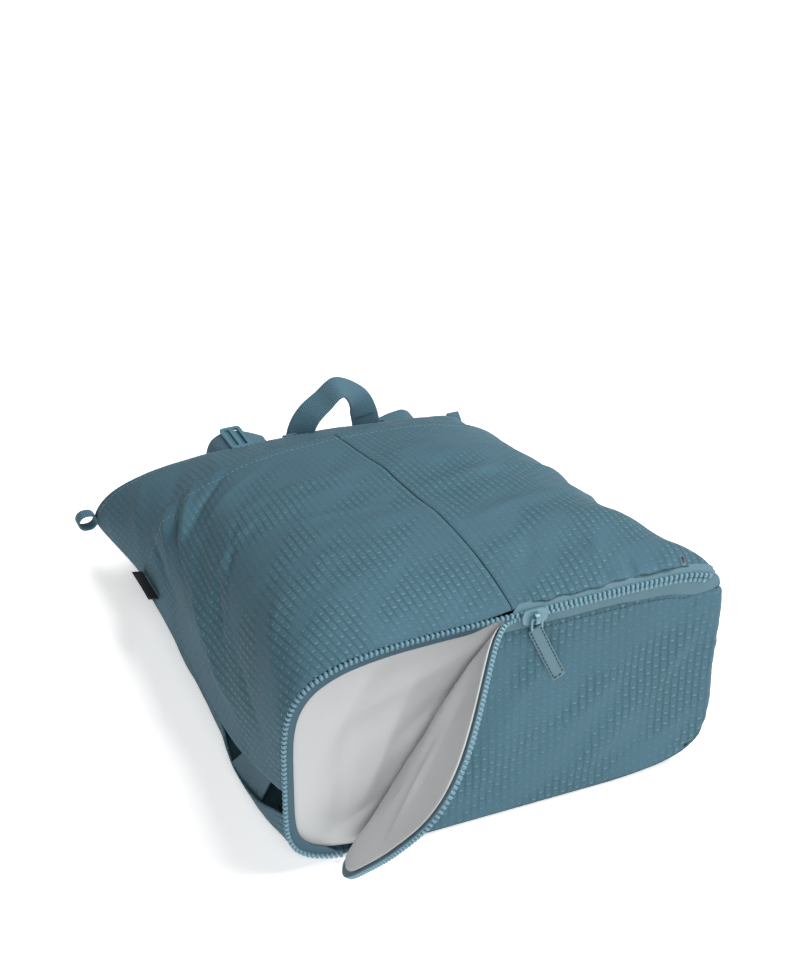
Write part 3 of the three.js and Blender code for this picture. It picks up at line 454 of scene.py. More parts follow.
def make_piece(name, points, faces, material, slot, node_name=None, body=BAG, cloth=None):
    mesh = bpy.data.meshes.new(name)
    mesh.from_pydata(to_part(points).tolist(), [], faces)
    mesh.polygons.foreach_set("use_smooth", [True] * len(mesh.polygons))
    if cloth is not None:
        values = np.zeros((len(mesh.vertices), 3), np.float32)
        values[:, :2] = np.asarray(cloth, np.float32).reshape(-1, 2)
        mesh.attributes.new("cloth", "FLOAT_VECTOR", "POINT").data.foreach_set("vector", values.ravel())
    mesh.materials.append(material)
    mesh.validate()
    piece = add_object(name, mesh)
    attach(piece, body)
    if node_name:
        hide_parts(node_name)
    return piece


def grid_faces(rows, columns):
    return [
        (i * columns + j, i * columns + j + 1, (i + 1) * columns + j + 1, (i + 1) * columns + j)
        for i in range(rows - 1) for j in range(columns - 1)
    ]


def ring_faces(count, ring, closed=False):
    """Faces of a skin over a number of rings of points, with both ends capped unless it is closed."""
    faces = [
        (i * ring + k, i * ring + (k + 1) % ring, (i + 1) * ring + (k + 1) % ring, (i + 1) * ring + k)
        for i in range(count - 1) for k in range(ring)
    ]
    if not closed:
        faces += [tuple(range(ring))[::-1], tuple((count - 1) * ring + k for k in range(ring))]
    return faces


def flat_area(cloth):
    """Area in square metres of a cloth's flat layout, before it is hung or folded."""
    one, other = cloth[1:, :-1], cloth[:-1, 1:]
    total = 0.0
    for corner in (cloth[:-1, :-1], cloth[1:, 1:]):
        a, b = one - corner, other - corner
        total += np.abs(a[..., 0] * b[..., 1] - a[..., 1] * b[..., 0]).sum() / 2
    return float(total) * MM * MM


def cloth_piece(name, grid, cloth, material, slot, node_name, thick):
    """A sheet of cloth from a grid of points, with its thickness added behind its face."""
    rows, columns = grid.shape[:2]
    piece = make_piece(name, grid, grid_faces(rows, columns), material, slot, node_name, cloth=cloth)
    wall = piece.modifiers.new("thickness", "SOLIDIFY")
    wall.thickness = thick * MM
    wall.offset = -1.0
    wall.use_even_offset = False
    return piece


def sheet_piece(name, grid, cloth, material, slot, node_name, thick, turned=False):
    """A piece of cloth; the area of its flat layout is worked out but not kept.
    A turned one has its face on the other side."""
    way = slice(None, None, -1 if turned else 1)
    piece = cloth_piece(name, grid[:, way], cloth[:, way], material, slot, node_name, thick)
    flat_area(cloth)


def tube(points, normals, section, closed=False):
    """A swept tube: at each point, the section's (side, lift) pairs about the way's side and normal."""
    points, normals = np.asarray(points, float), unit(np.asarray(normals, float))
    tangent = unit(np.gradient(points, axis=0))
    side = unit(np.cross(normals, tangent))
    lift = unit(np.cross(tangent, side))
    section = np.asarray(section, float)
    rings = points[:, None] + side[:, None] * section[None, :, :1] + lift[:, None] * section[None, :, 1:]
    return rings.reshape(-1, 3), ring_faces(len(points), len(section), closed)


def strap_section(width, thick, steps=4):
    """A flat section with round edges, from (side, lift) pairs, counter-clockwise."""
    radius = thick / 2
    flat = width / 2 - radius
    points = []
    for side, start in ((1, -pi / 2), (-1, pi / 2)):
        points += [(x, -side * radius) for x in np.linspace(-side * flat, side * flat, 7)]
        for turn in np.linspace(start, start + pi, steps + 2)[1:-1]:
            points.append((side * flat + radius * cos(turn), radius * sin(turn)))
    return points


def spline(points, count):
    """Points of a smooth curve through the given ones, evenly by length, and their shares of the steps."""
    points = np.asarray(points, float)
    padded = np.vstack([2 * points[0] - points[1], points, 2 * points[-1] - points[-2]])
    steps = len(points) - 1
    out, shares = [], []
    for i in range(steps):
        p0, p1, p2, p3 = padded[i:i + 4]
        t = np.linspace(0, 1, 24, endpoint=i == steps - 1)[:, None]
        curve = (2 * p0 - 5 * p1 + 4 * p2 - p3) * t ** 2 + (3 * p1 - p0 - 3 * p2 + p3) * t ** 3
        out.append(0.5 * (2 * p1 + (p2 - p0) * t + curve))
        shares.append((i + t[:, 0]) / steps)
    fine = np.vstack(out)
    length = run_lengths(fine)
    even = np.linspace(0, length[-1], count)
    return read_way(even, length, fine), np.interp(even, length, np.concatenate(shares))


def join(parts):
    """One list of points and faces from several."""
    verts, faces, count = [], [], 0
    for points, more in parts:
        faces += [tuple(k + count for k in face) for face in more]
        verts.append(np.asarray(points, float).reshape(-1, 3))
        count += len(verts[-1])
    return np.vstack(verts), faces


STITCH_STEPS = 5


def stitches(name, ways, material, slot, body=BAG, *, dash, gap, thick=0.5, sink=0.1):
    """Rows of short threads along ways, each a pair of points and normals."""
    threads = []
    ring = [(thick / 2 * cos(t), thick / 2 * sin(t)) for t in np.linspace(0, 2 * pi, 7)[:-1]]
    arch_up = np.sin(np.linspace(0, pi, STITCH_STEPS))[:, None] * thick * 0.7 - sink
    for points, normals in ways:
        points, normals = np.asarray(points, float), unit(np.asarray(normals, float))
        length = run_lengths(points)
        start = 0.0
        while start + dash < length[-1]:
            place = start + np.linspace(0, dash, STITCH_STEPS)
            up = read_way(place, length, normals)
            threads.append(tube(read_way(place, length, points) + unit(up) * arch_up, up, ring))
            start += dash + gap
    make_piece(name, *join(threads), material, slot, body=body)


# The base's rim, which the bag's cloth starts from

RIM_SEAM = SECTIONS[0]["seam"]
RIM_UP = BASE_TOP - RIM_SEAM
RIM_DOWN = RIM_SEAM - BASE_BOTTOM
CLOTH_START = 0.8
BODY_TEETH = 0.3
FLAP_TEETH = 3.6
TEETH_WIDTH = 2.9

# On the right the zip turns round the corner and runs down the bag's side
SIDE_BACK = 20.0
SIDE_ROUND = 5.0
SIDE_EASE = 0.3
SIDE_TOP = (128, 149)
SIDE_FOOT = (12, 24)


def rim_point(p, q, inset=0.0):
    """Points (x, z) of the rim in directions (p, q), moved in by an inset."""
    p, q, inset = spread(p, q, inset)
    base = SECTIONS[0]
    half, upper = side_of(base, p)
    shrink = shrink_of(p, q, np.where(q < 0, BACK_EDGES[0]["square"], upper))
    height = np.where(q < 0, RIM_DOWN, RIM_UP) - inset
    return (half - inset) * p * shrink, RIM_SEAM + height * q * shrink


def side_share(x, z):
    turned = (1 - smoothstep(z, *SIDE_TOP)) * smoothstep(z, *SIDE_FOOT)
    return np.where(np.asarray(x) < 0, 0.0, turned)


def round_rim(share, inset, height, reach=1.0):
    """Inset and depth of cloth that is led round the rim by a share."""
    share, inset, height, reach = spread(share, inset, height, reach)
    round_by = np.maximum(SIDE_ROUND * share, 1e-6)
    moved = inset - SIDE_BACK * share * reach
    over = np.maximum(round_by - moved, 0)
    turn = np.minimum(over / round_by, pi / 2)
    bent_inset = np.maximum(moved, round_by) - (round_by + height) * np.sin(turn)
    bent_y = round_by + over - round_by * turn - (round_by + height) * np.cos(turn)
    ease = smoothstep(share, 0, SIDE_EASE)
    return mix(inset, bent_inset, ease), mix(-height, bent_y, ease)


def cloth_start(x, z):
    """How far along the bag its cloth starts at a place of the rim."""
    return CLOTH_START + round_rim(side_share(x, z), BODY_TEETH - TEETH_WIDTH / 2, 0.0)[1]


# Front cover in two halves

COVER_ARC = 240.0
ZIP_PUFF = 5.4
PUFF_START = 0.12
PUFF_RUN = 45.0
SEWN_OVERLAP = 1.3

# Main folds of the cover, which the solids have too: across in mm from the centre seam
MAIN_FOLDS = (
    (60, 205, 90, 17, 8, 2.6, 0), (-48, 122, 85, 18, -10, 2.4, 0), (101, 72, 60, 18, 12, 2.2, 0),
    (-144, 225, 60, 17, 62, -3.5, 0), (-182, 205, 60, 17, 74, 3, 0),
    (-173, 95, 70, 24, 82, -3.5, 0), (178, 120, 90, 24, 86, -3, 0),
)

# Finer creases of the cover
FINE_FOLDS = (
    (70, 238, 62, 7, 4, 1.6, 0.3), (95, 172, 70, 8, 10, 1.8, 0.3), (30, 222, 45, 6, 12, 1.1, 0.4),
    (-70, 205, 48, 7, -4, 1.3, 0.3), (-60, 148, 60, 7, -14, 1.4, 0.4), (-95, 100, 45, 7, -24, 1.4, 0.3),
    (55, 105, 40, 7, 18, 1.3, 0.4), (120, 128, 40, 6, 25, 1.4, 0.5), (30, 40, 22, 6, 60, -1.1, 0.3),
    (75, 30, 20, 6, 75, 1.2, 0.3), (-150, 262, 34, 5, 58, 2.2, 0.6), (-132, 258, 40, 5, 40, -1.8, 0.5),
    (-168, 250, 46, 6, 74, -2.0, 0.5), (-118, 240, 45, 7, 28, 1.5, 0.5), (-186, 165, 42, 6, 68, 1.8, 0.5),
    (-165, 150, 46, 7, 58, -1.6, 0.4), (-205, 120, 40, 6, 78, 1.7, 0.5), (-190, 70, 34, 6, 66, -1.4, 0.4),
    (-145, 172, 42, 4.5, 20, 1.5, 0.7), (-150, 180, 40, 4.5, 100, 1.3, 0.7),
    (-136, 168, 32, 4, 60, -1.3, 0.6), (-175, 272, 30, 4.5, 66, 2.0, 0.6), (-196, 262, 34, 5, 78, -1.8, 0.6),
    (-156, 278, 26, 4, 48, -1.6, 0.6), (-140, 60, 36, 7, 52, 1.2, 0.4), (196, 90, 50, 8, 80, 1.6, 0.4),
    (205, 190, 60, 8, 84, -1.6, 0.4),
)


def closed_share(across):
    """Where the cover's edge is sewn along the closed zip."""
    return window(across, 6, 30, 126, 140)


def cover_grid(sign):
    """Half of the cover: its points and their places on the cloth."""
    inner = np.array([0.14, 0.5, 1.0, 1.6, 2.4, 3.4, 4.8, 6.6])
    u = np.sort(sign * np.concatenate([inner / COVER_ARC, np.linspace(8.6 / COVER_ARC, 1, 100)]))
    near = np.array([0, 0.6, 1.4, 2.4, 3.6, 5.2, 7.2, 9.6]) / HEM_ALONG
    hem = 1 - np.array([4.5, 2.6, 1.2, 0]) / HEM_ALONG
    t = np.concatenate([near, np.linspace(12.4 / HEM_ALONG, 1 - 7 / HEM_ALONG, 110), hem])
    u, t = np.meshgrid(u, t)
    half, square = side_of(SECTIONS[0], u[0])
    edge_x, edge_z = arch(half, RIM_UP, square, u[0])
    start = cloth_start(edge_x, RIM_SEAM + edge_z)
    edge = u[0] * COVER_ARC
    ripple = 0.9 * noise(edge / 9, 0 * edge, 24) + 0.5 * noise(edge / 4, 0 * edge, 25)
    start = (start + closed_share(edge) * (ripple - SEWN_OVERLAP))[None]
    along = mix(start, HEM_ALONG, t)
    section = section_at(along)
    rise = section["crown"] - section["seam"]
    half, square = side_of(section, u)
    x, z = arch(half, rise, square, u)
    puff = ZIP_PUFF * smoothstep(u, -PUFF_START, PUFF_START) * (1 - smoothstep(along, 0, PUFF_RUN))
    points = stack(x, along, section["seam"] + z * (1 + puff / rise) + twist(x, along))
    across = u * COVER_ARC
    lift = cover_lift(across, along, along - start + CLOTH_START)
    return points + grid_normals(points) * lift[..., None], stack(across, along)


def cover_lift(across, along, edge):
    """How far the cover's cloth stands out of its main shape; edge is the distance from the zip."""
    fade = window(along, 0, 25, 235, 266) * (1 - (across / COVER_ARC) ** 8)
    lift = folds(MAIN_FOLDS, across, along) * fade
    soft = smoothstep(edge, 6, 30) * (1 - 0.6 * smoothstep(along, 272, 290))
    soft = soft * (1 - (across / COVER_ARC) ** 10) * (1 - 0.8 * hump(across, 0, 13))
    lift = lift + 1.4 * folds(FINE_FOLDS, across, along) * soft
    uneven = 0.9 * noise(across / 46 + 7, along / 24, 11) + 0.55 * noise(across / 21, along / 13 + 5, 12)
    lift = lift + soft * uneven
    # Gathers where the cloth is sewn to the closed zip
    gather = hump(edge, 5, 13) * smoothstep(across, 8, 40)
    uneven = 1.5 * noise(across / 9, along / 60, 21) + 0.7 * noise(across / 4.5, along / 30, 22)
    lift = lift + gather * uneven
    loose = hump(edge, 6, 16) * smoothstep(-across, 12, 60)
    lift = lift + loose * 0.4 * noise(across / 12, along / 50, 23)
    # Rolled edge at the zip, seam groove in the middle, flat hem at the top
    lift = lift - (2.6 - 1.5 * closed_share(across)) * (1 - smoothstep(edge, CLOTH_START - 2.2, 6.0)) ** 1.5
    lift = lift - 0.75 * np.exp(-np.abs(across) / 0.8)
    lift = lift + 0.3 * hump(np.abs(across), 4.0, 2.4) * smoothstep(edge, 8, 20)
    lift = lift + 0.4 * smoothstep(along, HEM_ALONG - 11, HEM_ALONG - 8)
    lift = lift - 1.5 * smoothstep(along, HEM_ALONG - 6, HEM_ALONG)
    return lift - 0.35 * hump(along, HEM_ALONG - 8.5, 1.1)


SIDES = (("left", -1), ("right", 1))
cover = {}
for side_name, sign in SIDES:
    grid, cloth = cover_grid(sign)
    cover[side_name] = grid
    node_name = f"front_{side_name}"
    sheet_piece(f"{node_name}_cloth", grid, cloth, SHELL, "shell", node_name, thick=1.0)


# Collar above the hem, back wall and outer back

TOP_DIP = 43.0
TOP_DIP_POWER = 2.2
COLLAR_START = 268.0
MOUTH_GAP = 14.0
BACK_WALL_START = 36.0
BACK_PANEL_END = 300.0
BACK_TUCK = 3.5
CORNER_COVER = 12.0
COLLAR_ARC = 190.0
BACK_WALL_ARC = 160.0
BACK_PANEL_ARC = 175.0
BACK_END_HEIGHT = 7.0


def top_along(u):
    return BAG_LENGTH - TOP_DIP * (1 - np.abs(u) ** TOP_DIP_POWER)


def collar_inset(along):
    return (WALL + GAP + 0.1) * window(along, 250, 266, 295, BAG_LENGTH)


COLLAR_FOLDS = (
    (-150, 330, 40, 7, 58, 1.8, 0.4), (-118, 318, 42, 8, 66, -1.6, 0.3), (-80, 330, 36, 8, 80, 1.3, 0.3),
    (-190, 352, 40, 8, 46, 1.6, 0.4), (-40, 322, 30, 8, 88, -1.1, 0.2), (40, 325, 30, 8, 95, 1.0, 0.2),
    (100, 325, 36, 8, 105, 1.3, 0.3), (150, 340, 40, 8, 118, -1.5, 0.4), (190, 350, 40, 8, 128, 1.4, 0.4),
)


def collar_grid():
    shares = np.concatenate([np.linspace(0, 0.97, 46), [0.98, 0.99, 1.0]])
    u, t = np.meshgrid(np.linspace(-1, 1, 156), shares)
    along = mix(COLLAR_START, BAG_LENGTH, t)
    section = section_at(along)
    inset = collar_inset(along)
    half, square = side_of(section, u)
    x, z = arch(half - inset, section["crown"] - section["seam"] - inset, square, u)
    points = stack(x, mix(COLLAR_START, top_along(u), t), section["seam"] + z + twist(x, along))
    across, run = u * COLLAR_ARC, points[..., 1]
    free = smoothstep(run, HEM_ALONG - 2, HEM_ALONG + 14) * (1 - np.abs(u) ** 10)
    free = free * (1 - 0.6 * smoothstep(t, 0.86, 1.0))
    lift = free * (folds(COLLAR_FOLDS, across, run) + 0.6 * noise(across / 26, run / 20, 31))
    edge = (1 - t) * (BAG_LENGTH - COLLAR_START)
    lift = lift - 0.35 * hump(edge, 9, 1.2)
    return points + grid_normals(points) * lift[..., None], stack(across, run)


collar_points, cloth = collar_grid()
sheet_piece("collar_cloth", collar_points, cloth, SHELL, "shell", "collar", thick=1.1)


def back_wall_grid():
    u, t = np.meshgrid(np.linspace(-1, 1, 110), np.linspace(0, 1, 60))
    along = mix(BACK_WALL_START, BAG_LENGTH, t)
    section, top = section_at(along), SECTIONS[-1]
    rise = mix(2.0, top["crown"] - top["seam"] - MOUTH_GAP, smoothstep(along, 290, BAG_LENGTH))
    half, square = side_of(section, u)
    x, z = arch(half - collar_inset(along) - WALL - GAP - 0.2, rise, square, u)
    points = stack(x, mix(BACK_WALL_START, top_along(u), t), section["seam"] + z + twist(x, along))
    across, run = u * BACK_WALL_ARC, points[..., 1]
    free = (1 - np.abs(u) ** 8) * smoothstep(run, 40, 70)
    uneven = 0.5 * noise(across / 40, run / 30, 41) + 0.25 * noise(across / 18, run / 15, 42)
    points[..., 2] += free * (uneven - 0.4)
    return points, stack(across, run)


grid, cloth = back_wall_grid()
sheet_piece("back_wall_cloth", grid, cloth, DARK_CLOTH, "back_cloth", "back_wall", thick=1.3)


def back_panel_grid():
    u, t = np.meshgrid(np.linspace(-1, 1, 150), np.linspace(0, 1, 112))
    first = BACK_EDGES[0]
    half, _ = side_of(SECTIONS[0], u[0])
    edge_x, edge_z = arch(half, RIM_SEAM, first["square"], u[0], first["drop"])
    along = mix(cloth_start(edge_x, RIM_SEAM - edge_z - CORNER_COVER)[None], BACK_PANEL_END, t)
    section = section_at(along)
    seam = section["seam"]
    drop = np.maximum(smooth_column(BACK_EDGES, "drop", along), BACK_EDGES[-2]["drop"])
    floor = (seam - BACK_END_HEIGHT) * smoothstep(along, 225, BACK_PANEL_END)
    half, _ = side_of(section, u)
    half = half - BACK_TUCK * window(along, 95, 140, 230, 285)
    x, z = arch(half, seam - floor, smooth_column(BACK_EDGES, "square", along), u, drop)
    z = np.maximum(seam - z - 0.4, floor)
    points = stack(x, along, z + twist(x, along))
    across = u * BACK_PANEL_ARC
    uneven = 0.8 * noise(across / 16, along / 24, 51) + 0.4 * noise(across / 8, along / 13, 52)
    lift = np.minimum(smoothstep(z, 0.4, 9) * uneven * (1 - np.abs(u) ** 12), 0.7)
    points = points - grid_normals(points) * lift[..., None]
    points[..., 2] = np.maximum(points[..., 2], 0.0)
    return points, stack(across, along)


grid, cloth = back_panel_grid()
sheet_piece("back_panel_cloth", grid, cloth, SHELL, "shell", "back_panel", thick=1.4, turned=True)


# The zip's way and the base door

SLIDER_X = 2.0
ZIP_END_X = 112.0
ZIP_FOOT = 18.0
FOLD_END_X = 102.0
FLAP_BEND = (radians(70), radians(65))
FLAP_BEND_RUN = (50.0, 190.0)
FLAP_SOFTNESS = 8.0
FLAP_LIFT = (9.0, 22.0, 60.0)


def zip_way():
    """The zip's way along the rim: turn and length, from its right end over the top to its left end."""
    turn = np.linspace(-pi / 2, 3 * pi / 2, 4001)
    x, z = rim_point(np.cos(turn), np.sin(turn))
    keep = ~((z < RIM_SEAM / 2) & (np.abs(x) < ZIP_END_X)) & ~((x > 0) & (z < ZIP_FOOT))
    turn, x, z = turn[keep], x[keep], z[keep]
    length = np.concatenate([[0], np.cumsum(np.hypot(np.diff(x), np.diff(z)))])
    slider = length[np.argmax((z > BASE_TOP / 2) & (x < SLIDER_X))]
    return turn, length, slider


ZIP_TURN, ZIP_LENGTH, SLIDER_LENGTH = zip_way()
ZIP_TOTAL = ZIP_LENGTH[-1]


def open_share(length):
    s, start = length / ZIP_TOTAL, SLIDER_LENGTH / ZIP_TOTAL + 0.012
    return window(s, start, start + 0.05, 0.96, 1)


FOLD_START = np.array([SLIDER_X, BASE_TOP])
FOLD_RUN = unit(np.array([-FOLD_END_X, BASE_BOTTOM]) - FOLD_START)
FOLD_AWAY = np.array([FOLD_RUN[1], -FOLD_RUN[0]])
BEND_STEPS = 40


def from_fold(x, z, way):
    """How far places lie from the fold's start, along one direction."""
    return (x - FOLD_START[0]) * way[0] + (z - FOLD_START[1]) * way[1]


def fold_out(x, z, height):
    """Places on the base door, at heights out of its face, after its corner is folded out."""
    x, z, height = spread(x, z, height)
    run, away = from_fold(x, z, FOLD_RUN), from_fold(x, z, FOLD_AWAY)
    far = np.maximum(away, 0)
    full = mix(FLAP_BEND[0], FLAP_BEND[1], smoothstep(run, *FLAP_BEND_RUN))
    reach, out = np.zeros_like(far), np.zeros_like(far)
    for i in range(BEND_STEPS):
        bend = full * (1 - np.exp(-far * (i + 0.5) / BEND_STEPS / FLAP_SOFTNESS))
        reach += np.cos(bend) * far / BEND_STEPS
        out += np.sin(bend) * far / BEND_STEPS
    bend = full * (1 - np.exp(-far / FLAP_SOFTNESS))
    reach, out = reach - np.sin(bend) * height, out + np.cos(bend) * height
    flat_x = FOLD_START[0] + FOLD_RUN[0] * run + FOLD_AWAY[0] * reach
    flat_z = FOLD_START[1] + FOLD_RUN[1] * run + FOLD_AWAY[1] * reach
    amount, over, high = FLAP_LIFT
    lifted = flat_z + amount * smoothstep(out, 0, over) * (1 - smoothstep(flat_z, 0, high))
    folded = away > 0
    return stack(np.where(folded, flat_x, x), np.where(folded, -out, -height), np.where(folded, lifted, z))


def rim_at(length, inset=0.0):
    """Points (x, z) of the rim at lengths along the zip."""
    turn = np.interp(length, ZIP_LENGTH, ZIP_TURN)
    return rim_point(np.cos(turn), np.sin(turn), inset)


def on_bag(x, z, height):
    return stack(x, -height, z)


def on_zip(length, inset, height, place):
    """Places along the zip, led round the bag's right side."""
    length, inset, height = spread(length, inset, height)
    share = side_share(*rim_at(length))
    bent, y = round_rim(share, inset, height)
    x, z = rim_at(length, bent)
    return np.where((share > 0)[..., None], stack(x, y, z), place(x, z, height))


PANEL_INSET = 11.5
PANEL_CORNER_INSET = 7.0
PANEL_BOTTOM_INSET = 0.8
PANEL_SIDE_INSET = -1.5
SEWN_HALF = 96.0


def sewn_share(x, z):
    """Where the door is sewn to the bag, at its bottom and right corner."""
    return smoothstep(x, -SEWN_HALF - 8, -SEWN_HALF + 6) * (1 - smoothstep(z, 10, 15))


def panel_inset(x, z):
    loose = mix(PANEL_CORNER_INSET, PANEL_INSET, smoothstep(z, 12, 45))
    return mix(loose, PANEL_BOTTOM_INSET, sewn_share(x, z))


def base_grid(across, rows, inset_of):
    """A grid over the base drawn to the rim's shape: directions, reach and edge insets."""
    p, q = np.meshgrid(across, rows)
    reach = np.maximum(np.maximum(np.abs(p), np.abs(q)), 1e-6)
    p, q = p / reach, q / reach
    return p, q, reach, inset_of(*rim_point(p, q))


def base_sheet(columns, rows, inset_of):
    """A plain cloth over the base: places (x, z), and the reach of each towards the edge."""
    p, q, reach, inset = base_grid(np.linspace(-1, 1, columns), np.linspace(-1, 1, rows), inset_of)
    x, z = rim_point(p, q, inset)
    return x * reach, mix(RIM_SEAM, z, reach), reach


def door_layout(p, q, reach, inset):
    """The base door's cloth laid flat: places across and up, and the share led round the right side."""
    edge_x, edge_z = rim_point(p, q)
    share = np.where(reach > 1e-3, side_share(edge_x, edge_z), 0.0)
    half, _ = side_of(SECTIONS[0], p)
    moved = half - reach * (half - inset + SIDE_BACK * share)
    foot = mix(PANEL_BOTTOM_INSET, PANEL_SIDE_INSET, smoothstep(edge_z, *SIDE_FOOT))
    rise_inset = np.where((p > 0) & (q < 0), foot, mix(inset, PANEL_SIDE_INSET, share))
    across, _ = rim_point(p, q, moved)
    _, up = rim_point(p, q, rise_inset)
    return across, mix(RIM_SEAM, up, reach), share


def door_points(p, q, reach, inset, flat, height):
    """Places of a cloth of the base door: folded out on the left, led round the edge on the right."""
    across, up, share = flat
    half, _ = side_of(SECTIONS[0], p)
    bent, y = round_rim(share, half - reach * (half - inset), height, reach)
    bent_x, _ = rim_point(p, q, bent)
    side = stack(bent_x, y, up)
    return np.where((share > 0)[..., None], side, fold_out(across, up, height))


# Folds of the base door: x and z on the base
DOOR_FOLDS = (
    (62, 84, 70, 15, 50, 3.4, 0), (-18, 40, 55, 14, 40, 2.4, 0),
    (30, 62, 60, 11, 46, -1.6, 0), (104, 76, 60, 12, 56, -2.6, 0), (88, 60, 62, 8, 52, 3.4, 0.05),
    (114, 84, 52, 6, 57, 2.4, 0.1), (66, 46, 58, 7, 50, 2.2, 0.05),
    (8, 92, 46, 7, 58, 1.8, 0.1), (22, 118, 24, 6, 62, -1.2, 0.1), (-14, 86, 40, 7, 54, -1.3, 0.1),
    (124, 112, 34, 7, 64, 2.2, 0.1), (58, 30, 40, 9, 30, 1.4, 0), (110, 28, 34, 9, 40, 1.2, 0),
    (132, 118, 16, 3, 118, 1.1, 0.2), (138, 112, 20, 3, 82, 1.0, 0.2), (126, 121, 18, 3, 146, 0.8, 0.2),
)
DOOR_ACROSS = np.concatenate([np.linspace(-1, 0.84, 128), np.linspace(0.85, 1, 36)])
DOOR_ROWS = np.linspace(-1, 1, 96)
DOOR_HEIGHT = 1.5
DOOR_DEEPEST = -0.9

p, q, reach, inset = base_grid(DOOR_ACROSS, DOOR_ROWS, panel_inset)
flat = door_layout(p, q, reach, inset)
x, z, _ = flat
uneven = (1 - reach ** 6) * (0.6 * noise(x / 30 + 3, z / 30, 61) + 0.3 * noise(x / 13, z / 13, 62))
height = DOOR_HEIGHT + np.maximum(folds(DOOR_FOLDS, x, z) * (1 - reach ** 4) + uneven, DOOR_DEEPEST)
pucker = 0.4 * noise(x / 6, z / 6, 64) * smoothstep(reach, 0.8, 0.95)
height = height + (0.6 + pucker) * window(reach, 0.86, 0.95, 0.95, 0.99)
height = height - 1.2 * smoothstep(reach, 0.965, 1.0)
base_points = door_points(p, q, reach, inset, flat, height)
cloth = stack(x, z)
sheet_piece("base_panel_cloth", base_points, cloth, SHELL, "shell", "base_panel", thick=0.9)

# Grey lining on the inside of the base door
LINING_BEHIND = 0.65
LINING_ROOM = 0.3
LINING_FULLEST = 2.6
LINING_FOLDS = (
    (-70, 95, 60, 12, 40, 2.4, 0.2), (-95, 70, 50, 9, 60, -1.6, 0.3), (-40, 110, 40, 8, 52, 2.2, 0.3),
    (-110, 40, 40, 9, 70, 2.2, 0.3), (-60, 70, 44, 6, 48, 2.0, 0.3), (-104, 92, 36, 6, 30, 1.8, 0.3),
)


def lining_inset(a, b):
    loose = mix(mix(7.0, 4.9, smoothstep(b, 14, 40)), 6.0, sewn_share(a, b))
    return loose + 24 * smoothstep(side_share(a, b), 0, SIDE_EASE)


x, z, reach = base_sheet(130, 74, lining_inset)
free = 1 - reach ** 6
creased = folds(LINING_FOLDS, x, z) + 0.4 * noise(x / 22, z / 22, 63)
height = -LINING_BEHIND - free * (LINING_ROOM + np.clip(creased, -LINING_ROOM, LINING_FULLEST))
grid = fold_out(x, z, height)
cloth = stack(x, z)
sheet_piece("flap_lining_cloth", grid, cloth, LINING, "lining", "flap_lining", thick=0.5, turned=True)

# Grey lining across the base, seen where the door is open
PARTITION_BACK = 0.8
PARTITION_COVERED = 1.2
PARTITION_HOLLOW = 6.0
PARTITION_BELLY = 11.0
PARTITION_FURTHEST = 6.0
PARTITION_FOLDS = (
    (-104, 112, 60, 9, 58, 2.2, 0.3), (-60, 118, 70, 10, 18, 1.8, 0.3), (-112, 60, 50, 8, 82, -2.0, 0.3),
    (-84, 70, 52, 8, 66, 2.1, 0.4), (-70, 44, 44, 7, 38, 1.8, 0.4), (-96, 30, 30, 7, 20, -1.7, 0.3),
    (-40, 96, 50, 8, 30, -1.7, 0.3),
)


def partition_inset(a, b):
    return mix(4.2, 5.2, smoothstep(b, 6, 40)) + 8.0 * side_share(a, b)


x, z, reach = base_sheet(136, 84, partition_inset)
covered = np.maximum(smoothstep(x, -ZIP_END_X, SLIDER_X), 1 - smoothstep(z, 12, 45))
belly = smoothstep(from_fold(x, z, FOLD_AWAY), -10, 62) * hump(z, 46, 40) * (1 - reach ** 3)
free = (1 - reach ** 5) * (1 - 0.8 * smoothstep(x, -20, 40))
least = PARTITION_BACK + PARTITION_COVERED * covered
y = least + PARTITION_HOLLOW * (1 - reach ** 3) - PARTITION_BELLY * belly
y = y + free * (1.2 - folds(PARTITION_FOLDS, x, z) - 0.7 * noise(x / 24, z / 24, 71))
grid = stack(x, np.maximum(y, least - PARTITION_FURTHEST * belly), z)
cloth = stack(x, z)
sheet_piece("partition_cloth", grid, cloth, LINING, "lining", "lining_partition", thick=0.8)


# Zip tapes and teeth

TAPE_LOW, TAPE_HIGH = -0.4, 0.9
TAPE_STEP = 2.2
TAPE_DIP = 3.4
TAPE_ROOM = 0.15
BODY_TAPE_COLUMNS = 9
FLAP_TAPE_COLUMNS = 11
FLAP_TAPE_OUTER = 2.1


def tape_piece(name, outer_of, inner_of, low, high, place, node_name, columns):
    """A woven tape along the zip, between its outer and inner insets. Its outer edge dips under the cover."""
    length = np.linspace(0, ZIP_TOTAL, int(ZIP_TOTAL / TAPE_STEP))[:, None]
    share = np.linspace(0, 1, columns)[None]
    inset = mix(outer_of(length), inner_of(length), share)
    bow = 0.18 * np.sin(pi * share) + 0.12 * noise(length / 9 + share, share * 2 + 0 * length, 81)
    dip = TAPE_DIP * smoothstep(-inset, 0.9, 3.2)
    grid = on_zip(length, inset, high + bow - TAPE_ROOM - dip, place)
    cloth = stack(inset, length)
    return cloth_piece(name, grid, cloth, TAPE_LIT, "zip_tape", node_name, high - low - TAPE_ROOM)


def body_tape_outer(length):
    return mix(-3.2, 0.6, smoothstep(length, SLIDER_LENGTH - 4, SLIDER_LENGTH + 6))


def body_tape_inner(length):
    return mix(1.2, 6.6, open_share(length))


def flap_tape_outer(length):
    return FLAP_TAPE_OUTER + 0 * length


def flap_tape_inner(length):
    x, z = rim_at(length)
    return panel_inset(x, z) + 0.8 + 3.2 * smoothstep(x, 80, 120) * smoothstep(z, 60, 100)


